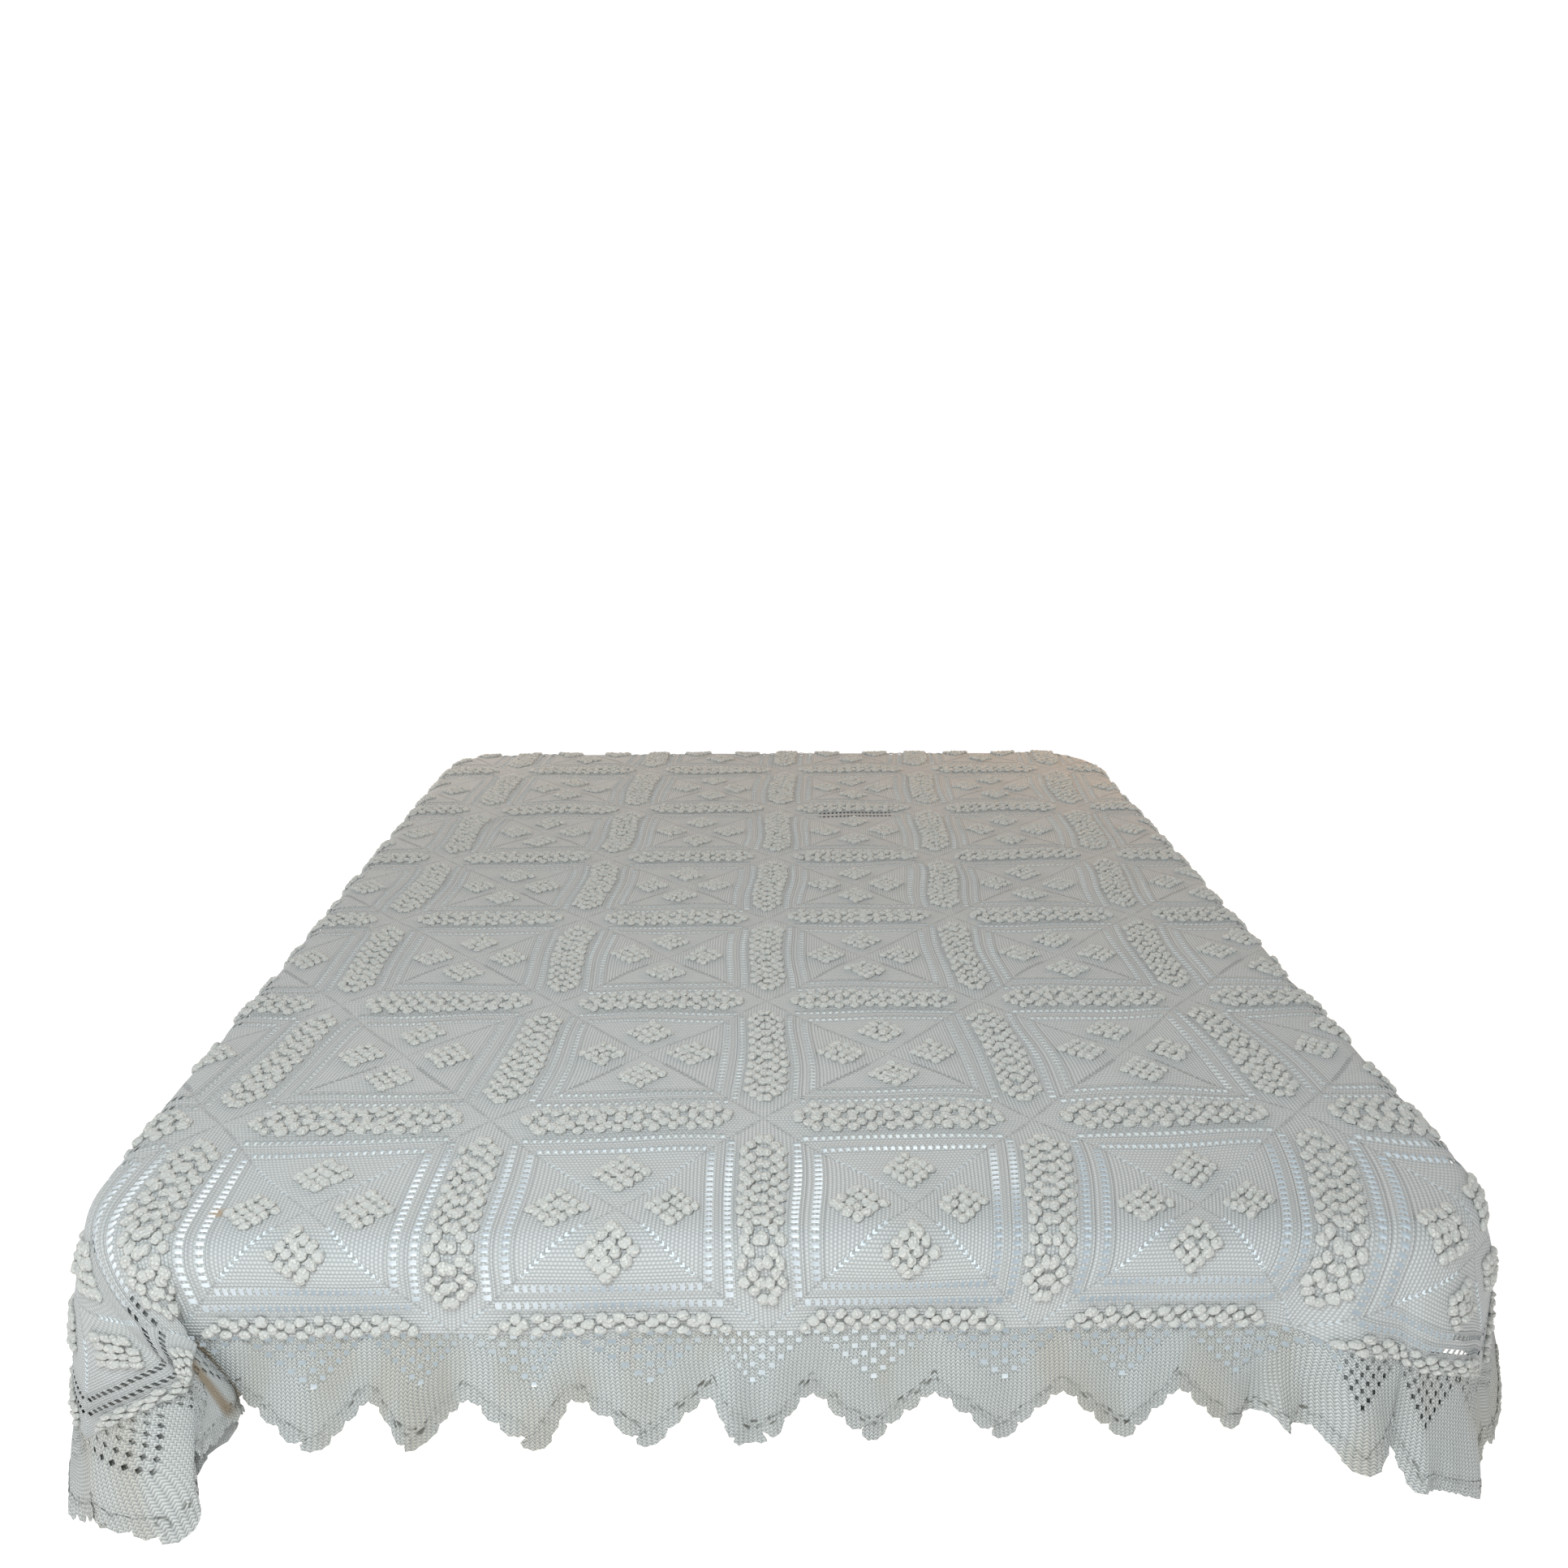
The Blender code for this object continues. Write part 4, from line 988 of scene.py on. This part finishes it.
def strip_points(upright):
    """Flat places and turns of the bobbles in the strips beside the seams that run along or across the bed."""
    places = []
    for row in STRIP_ROWS:
        for bobble in range(row.bobbles):
            along = (bobble - (row.bobbles - 1) / 2) * STRIP_PITCH
            for side in (-1, 1):
                out = side * (0.5 - row.inset)
                places.append([out, along, math.pi / 2] if upright else [along, out, 0.0])
    return every_block(places)


def every_block(places):
    """The same places in every block: an array of x, y and turn."""
    x, y, turn = np.array(places).T
    across, along = np.meshgrid(np.arange(BLOCKS_WIDE) - BLOCKS_WIDE / 2, np.arange(BLOCKS_LONG), indexing="ij")
    rows = [(x + across[..., None] + 0.5) * BLOCK, (y + along[..., None] + 0.5) * BLOCK,
            turn + 0.0 * across[..., None]]
    return np.stack(rows, -1).reshape(-1, 3)


def points_mesh(name, rows, **attributes):
    """A mesh of loose points from x and y, with float attributes."""
    mesh = bpy.data.meshes.new(name)
    mesh.from_pydata(np.concatenate([rows[:, :2], np.zeros((len(rows), 1))], 1), [], [])
    for key, values in attributes.items():
        mesh.attributes.new(key, "FLOAT", "POINT").data.foreach_set("value", values.astype(np.float32))
    return mesh


class MESH_OT_crochet_bobbles(bpy.types.Operator):
    """Make the bobbles of the diamonds and of the strips beside the seams"""
    bl_idname = "mesh.crochet_bobbles"
    bl_label = "Bobbles"

    def execute(self, context):
        sizes = context.scene.bedspread
        thread, tree = crochet_bobbles(sizes), bobble_tree()
        loose = np.random.default_rng(7)
        for seed, (name, rows, stretch) in enumerate((("bobble_diamonds", diamond_points(), 0.90),
                                                      ("bobble_strips_long", strip_points(True), 1.0),
                                                      ("bobble_strips_cross", strip_points(False), 1.0))):
            rows[:, :2] += loose.normal(0.0, BOBBLE_SHIFT, (len(rows), 2))
            mesh = points_mesh("flat_" + name, rows, turn=rows[:, 2])
            bobbles = grown(mesh, name, tree, {"Width": sizes.bobble_width,
                                               "Length": sizes.bobble_length * stretch,
                                               "Height": sizes.bobble_height, "Unevenness": sizes.unevenness,
                                               "Lumps": sizes.lumps, "Seed": seed, "Thread": thread})
            place(bobbles.data, drape_panel(coordinates(bobbles.data)))
            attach(bobbles, "root")
        return {"FINISHED"}


def lace_depth(at):
    """Depth of the lace at blocks round the border."""
    return LACE_VALLEY + (LACE_POINT - LACE_VALLEY) * np.interp(at, *lace_stations()) ** POINT_SHAPE


class MESH_OT_lace_edging(bpy.types.Operator):
    """Make the pointed edging: filet triangles, ribs, a row of slits and a rim of shells"""
    bl_idname = "mesh.lace_edging"
    bl_label = "Lace edging"

    def execute(self, context):
        sizes = context.scene.bedspread
        thread = crochet_lace(sizes)
        lines, from_tip = self.columns()
        depth = lace_depth(lines)
        filet = np.minimum(FILET_ROWS * FILET_ROW, depth - RIM - RIB_LEAST)
        rows = [filet * row / FILET_ROWS for row in range(FILET_ROWS + 1)]
        rows += [filet + (depth - RIM - filet) * row / RIB_ROWS for row in range(1, RIB_ROWS + 1)]
        down = np.stack(rows, 1)
        points = np.stack([np.broadcast_to(lines[:, None] * BLOCK, down.shape), -down], -1)[:, ::-1]
        row_count = len(rows) - 1
        row, cell = np.arange(row_count)[::-1], from_tip[:, None]
        holes = ((cell + row) % 2 == 0) & (np.abs(cell) <= LACE_CELLS // 2 - row) & (row < FILET_ROWS)
        mesh = flat_grid("flat_lace", points, holes[..., None] * np.array([1.0, 0.0, 0.0]))
        lace = grown(mesh, "lace_edging_crochet", eyelet_tree(),
                     {"Open Along": sizes.filet_open, "Open Across": sizes.filet_open * 0.92, "Lip": LACE_LIP,
                      "Thread": thread})
        self.hang(lace.data)
        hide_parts("lace_edging")
        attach(lace, "root")
        self.shells(thread)
        return {"FINISHED"}

    @staticmethod
    def hang(mesh):
        """Drape a flat piece of the lace, after writing its places in millimetres: along the border and in from
        the panel's edge, and along the border and up from the lace's edge."""
        flat, _ = corner_places(mesh)
        up = lace_depth(flat[:, 0] / BLOCK % CORNERS[4]) + flat[:, 1]
        write_uv(mesh, "lace_mm", flat[:, :2] * MM)
        write_uv(mesh, "rim_mm", np.stack([flat[:, 0], up], -1) * MM)
        place(mesh, drape_lace(coordinates(mesh)))

    @staticmethod
    def columns():
        """Lines round the border in blocks, and each cell's number from the middle of its point."""
        stations, _ = lace_stations()
        points = len(stations) // 2
        passed = np.arange(points * LACE_CELLS + 1) * 2.0 / LACE_CELLS
        lines = np.interp(passed, np.arange(len(stations)), stations)
        return lines, np.arange(points * LACE_CELLS) % LACE_CELLS - LACE_CELLS // 2

    def shells(self, thread):
        """The rim of shells, three to a slope and a larger one at each tip."""
        stations, _ = lace_stations()
        rows = []
        for point in range(len(stations) // 2):
            for part, size in SHELLS:
                at = np.interp(2 * point + part, np.arange(len(stations)), stations)
                slope = (lace_depth(at + 0.004) - lace_depth(at - 0.004)) / (2 * 0.004 * BLOCK)
                rows.append([at * BLOCK, SHELL_DEPTH * size - (TIP_SHIFT if part == 1.0 else 0.0) - lace_depth(at),
                             -math.atan(slope), size])
        rows = np.array(rows)
        rings, spokes = 2, 18
        ring, spoke = np.meshgrid(np.arange(1, rings + 1), np.arange(spokes + 1), indexing="ij")
        angle, odd = 2 * math.pi * spoke / spokes, spoke % 2 == 1
        part = ring / rings * (1.0 + 0.06 * (odd & (ring == rings)))
        lift = 0.0011 + np.where(odd, 0.0004, -0.0004) - 0.0006 * ring / rings
        down = np.sin(angle) * np.where(spoke < spokes / 2, 1.0, 0.45)
        points = np.stack([-SHELL * part * np.cos(angle), -SHELL_DEPTH * part * down, lift], -1).reshape(-1, 3)
        far = spokes + 1
        faces = [face for k in range(1, far) for face in ((0, k, k + 1), (k, k + far, k + far + 1, k + 1))]
        mesh = bpy.data.meshes.new("shell")
        mesh.from_pydata([(0.0, 0.0, 0.0), *points], [], faces)
        shell = new_object("shell_pattern", mesh)
        source = points_mesh("flat_shells", rows, turn=rows[:, 2], size=rows[:, 3])
        rim = grown(source, "lace_shell_rim", shell_tree(), {"Shell": shell, "Thread": thread})
        bpy.data.objects.remove(shell)
        self.hang(rim.data)
        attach(rim, "root")


class MESH_OT_inner_folds(bpy.types.Operator):
    """Make the layer of edging that is folded under at each foot corner"""
    bl_idname = "mesh.inner_folds"
    bl_label = "Inner folds"

    def execute(self, context):
        close, behind = FOLD_BEHIND
        for name, (corner, top) in FOLD_TOPS.items():
            at = np.linspace(corner + FOLD_RUN[0], corner + FOLD_RUN[1], 33) * BLOCK
            down = np.linspace(top, FOLD_EDGE, 17)
            points = np.stack(np.meshgrid(at, -down[::-1], indexing="ij"), -1)
            mesh = flat_grid("flat_" + name, points)
            fold = new_object(name, mesh)
            flat = coordinates(mesh)
            write_uv(mesh, "lace_mm", corner_places(mesh)[0][:, :2] * MM)
            flat[:, 2] = -close - (behind - close) * smooth(-flat[:, 1] / 0.05)
            place(mesh, drape_lace(flat))
            mesh.materials.append(bpy.data.materials["crocheted_cotton_lace"])
            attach(fold, "root")
        return {"FINISHED"}


class MESH_OT_covered_mattress(bpy.types.Operator):
    """Make the mattress in its white cover, with rounded corners and edges"""
    bl_idname = "mesh.covered_mattress"
    bl_label = "Mattress"

    def execute(self, context):
        builder = bmesh.new()
        bmesh.ops.create_cube(builder, size=1.0)
        bmesh.ops.scale(builder, vec=MATTRESS_HIGH - MATTRESS_LOW, verts=builder.verts)
        bmesh.ops.translate(builder, vec=(MATTRESS_HIGH + MATTRESS_LOW) / 2, verts=builder.verts)
        for upright, offset, segments in ((True, MATTRESS_CORNER, 12), (False, MATTRESS_EDGE, 6)):
            edges = [edge for edge in builder.edges
                     if (abs(edge.verts[0].co.z - edge.verts[1].co.z) > 0.01) == upright]
            bmesh.ops.bevel(builder, geom=edges, offset=offset, segments=segments, profile=0.5, affect="EDGES",
                            clamp_overlap=True)
        for face in builder.faces:
            face.smooth = True
        mattress = built("covered_mattress", builder)
        mattress.data.materials.append(cover_cotton(context.scene.bedspread))
        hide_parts("mattress")
        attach(mattress, "root")
        return {"FINISHED"}


class MATERIAL_OT_bed_wood(bpy.types.Operator):
    """Give the frame and the legs their wood"""
    bl_idname = "material.bed_wood"
    bl_label = "Bed frame"

    def execute(self, context):
        wood = pale_wood(context.scene.bedspread)
        for name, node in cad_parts.items():
            if name.startswith("bed_"):
                node.data.materials.clear()
                node.data.materials.append(wood)
        return {"FINISHED"}


class OBJECT_OT_declare_cloth(bpy.types.Operator):
    """A button that does nothing: it states no flat sizes and nothing about padding"""
    bl_idname = "object.declare_cloth"
    bl_label = "Flat sizes"

    def execute(self, context):
        return {"FINISHED"}


class OBJECT_OT_bedspread_stage(bpy.types.Operator):
    """Set up the floor, the soft lights and the camera"""
    bl_idname = "object.bedspread_stage"
    bl_label = "Stage"

    def execute(self, context):
        scene, stage = context.scene, context.scene.bedspread_stage
        builder = bmesh.new()
        bmesh.ops.create_grid(builder, x_segments=1, y_segments=1, size=30.0)
        floor = built("floor", builder)
        material, tree, shader = new_material("painted_floor")
        shader.inputs["Base Color"].default_value = (*stage.floor, 1.0)
        shader.inputs["Roughness"].default_value = 0.9
        shader.inputs["Emission Color"].default_value = (1.0, 1.0, 1.0, 1.0)
        shader.inputs["Emission Strength"].default_value = stage.floor_glow
        floor.data.materials.append(material)

        world = bpy.data.worlds.new("soft_room")
        world.use_nodes = True
        nodes = world.node_tree
        way = add(nodes, "ShaderNodeSeparateXYZ", {0: add(nodes, "ShaderNodeTexCoord").outputs["Generated"]})
        strength = add(nodes, "ShaderNodeMapRange",
                       {"Value": way.outputs["Z"], "From Min": SKY_STEP[0], "From Max": SKY_STEP[1],
                        "To Min": stage.walls, "To Max": stage.ceiling}, interpolation_type="SMOOTHSTEP")
        background = nodes.nodes["Background"]
        background.inputs["Color"].default_value = (1.0, 1.0, 1.0, 1.0)
        nodes.links.new(strength.outputs[0], background.inputs["Strength"])
        scene.world = world
        scene.view_settings.view_transform = "Standard"
        for light in STAGE_LIGHTS:
            data = bpy.data.lights.new(light.name, "AREA")
            data.energy = light.watts * stage.lights
            data.size = light.size
            data.color = linear(light.colour)
            lamp = bpy.data.objects.new(light.name, data)
            lamp.location = light.at
            lamp.rotation_euler = (Vector(light.towards) - Vector(light.at)).to_track_quat("-Z", "Y").to_euler()
            scene.collection.objects.link(lamp)

        data = bpy.data.cameras.new("camera")
        data.lens = stage.lens
        data.sensor_width = 36.0
        camera = bpy.data.objects.new("camera", data)
        across, back, up = CAMERA_AT
        camera.location = (across * BLOCK, MATTRESS_LOW.y - back * BLOCK, MATTRESS_HIGH.z + up * BLOCK)
        camera.rotation_euler = (math.radians(90.0 - CAMERA_DOWN), 0.0, math.radians(CAMERA_TURN))
        scene.collection.objects.link(camera)
        scene.camera = camera
        return {"FINISHED"}


class VIEW3D_PT_bedspread(bpy.types.Panel):
    """Buttons for each piece of the bedspread"""
    bl_label = "Bedspread"
    bl_idname = "VIEW3D_PT_bedspread"
    bl_space_type = "VIEW_3D"
    bl_region_type = "UI"
    bl_category = "Bedspread"

    def draw(self, context):
        for operator in STEPS:
            self.layout.operator(operator.bl_idname)
        for name in ("bobble_width", "bobble_length", "bobble_height", "unevenness", "eyelet_along",
                     "eyelet_across"):
            self.layout.prop(context.scene.bedspread, name)


STEPS = (OBJECT_OT_bedspread_stage, MESH_OT_covered_mattress, MATERIAL_OT_bed_wood, MESH_OT_crochet_ground,
         MESH_OT_crochet_bobbles, MESH_OT_lace_edging, MESH_OT_inner_folds, OBJECT_OT_declare_cloth)
CLASSES = (BedspreadSettings, StageSettings, *STEPS, VIEW3D_PT_bedspread)


def register():
    for item in CLASSES:
        bpy.utils.register_class(item)
    bpy.types.Scene.bedspread = bpy.props.PointerProperty(type=BedspreadSettings)
    bpy.types.Scene.bedspread_stage = bpy.props.PointerProperty(type=StageSettings)


def unregister():
    del bpy.types.Scene.bedspread_stage
    del bpy.types.Scene.bedspread
    for item in reversed(CLASSES):
        bpy.utils.unregister_class(item)


def main():
    register()
    for step in STEPS:
        group, name = step.bl_idname.split(".")
        getattr(getattr(bpy.ops, group), name)()


if __name__ == "__main__":
    main()
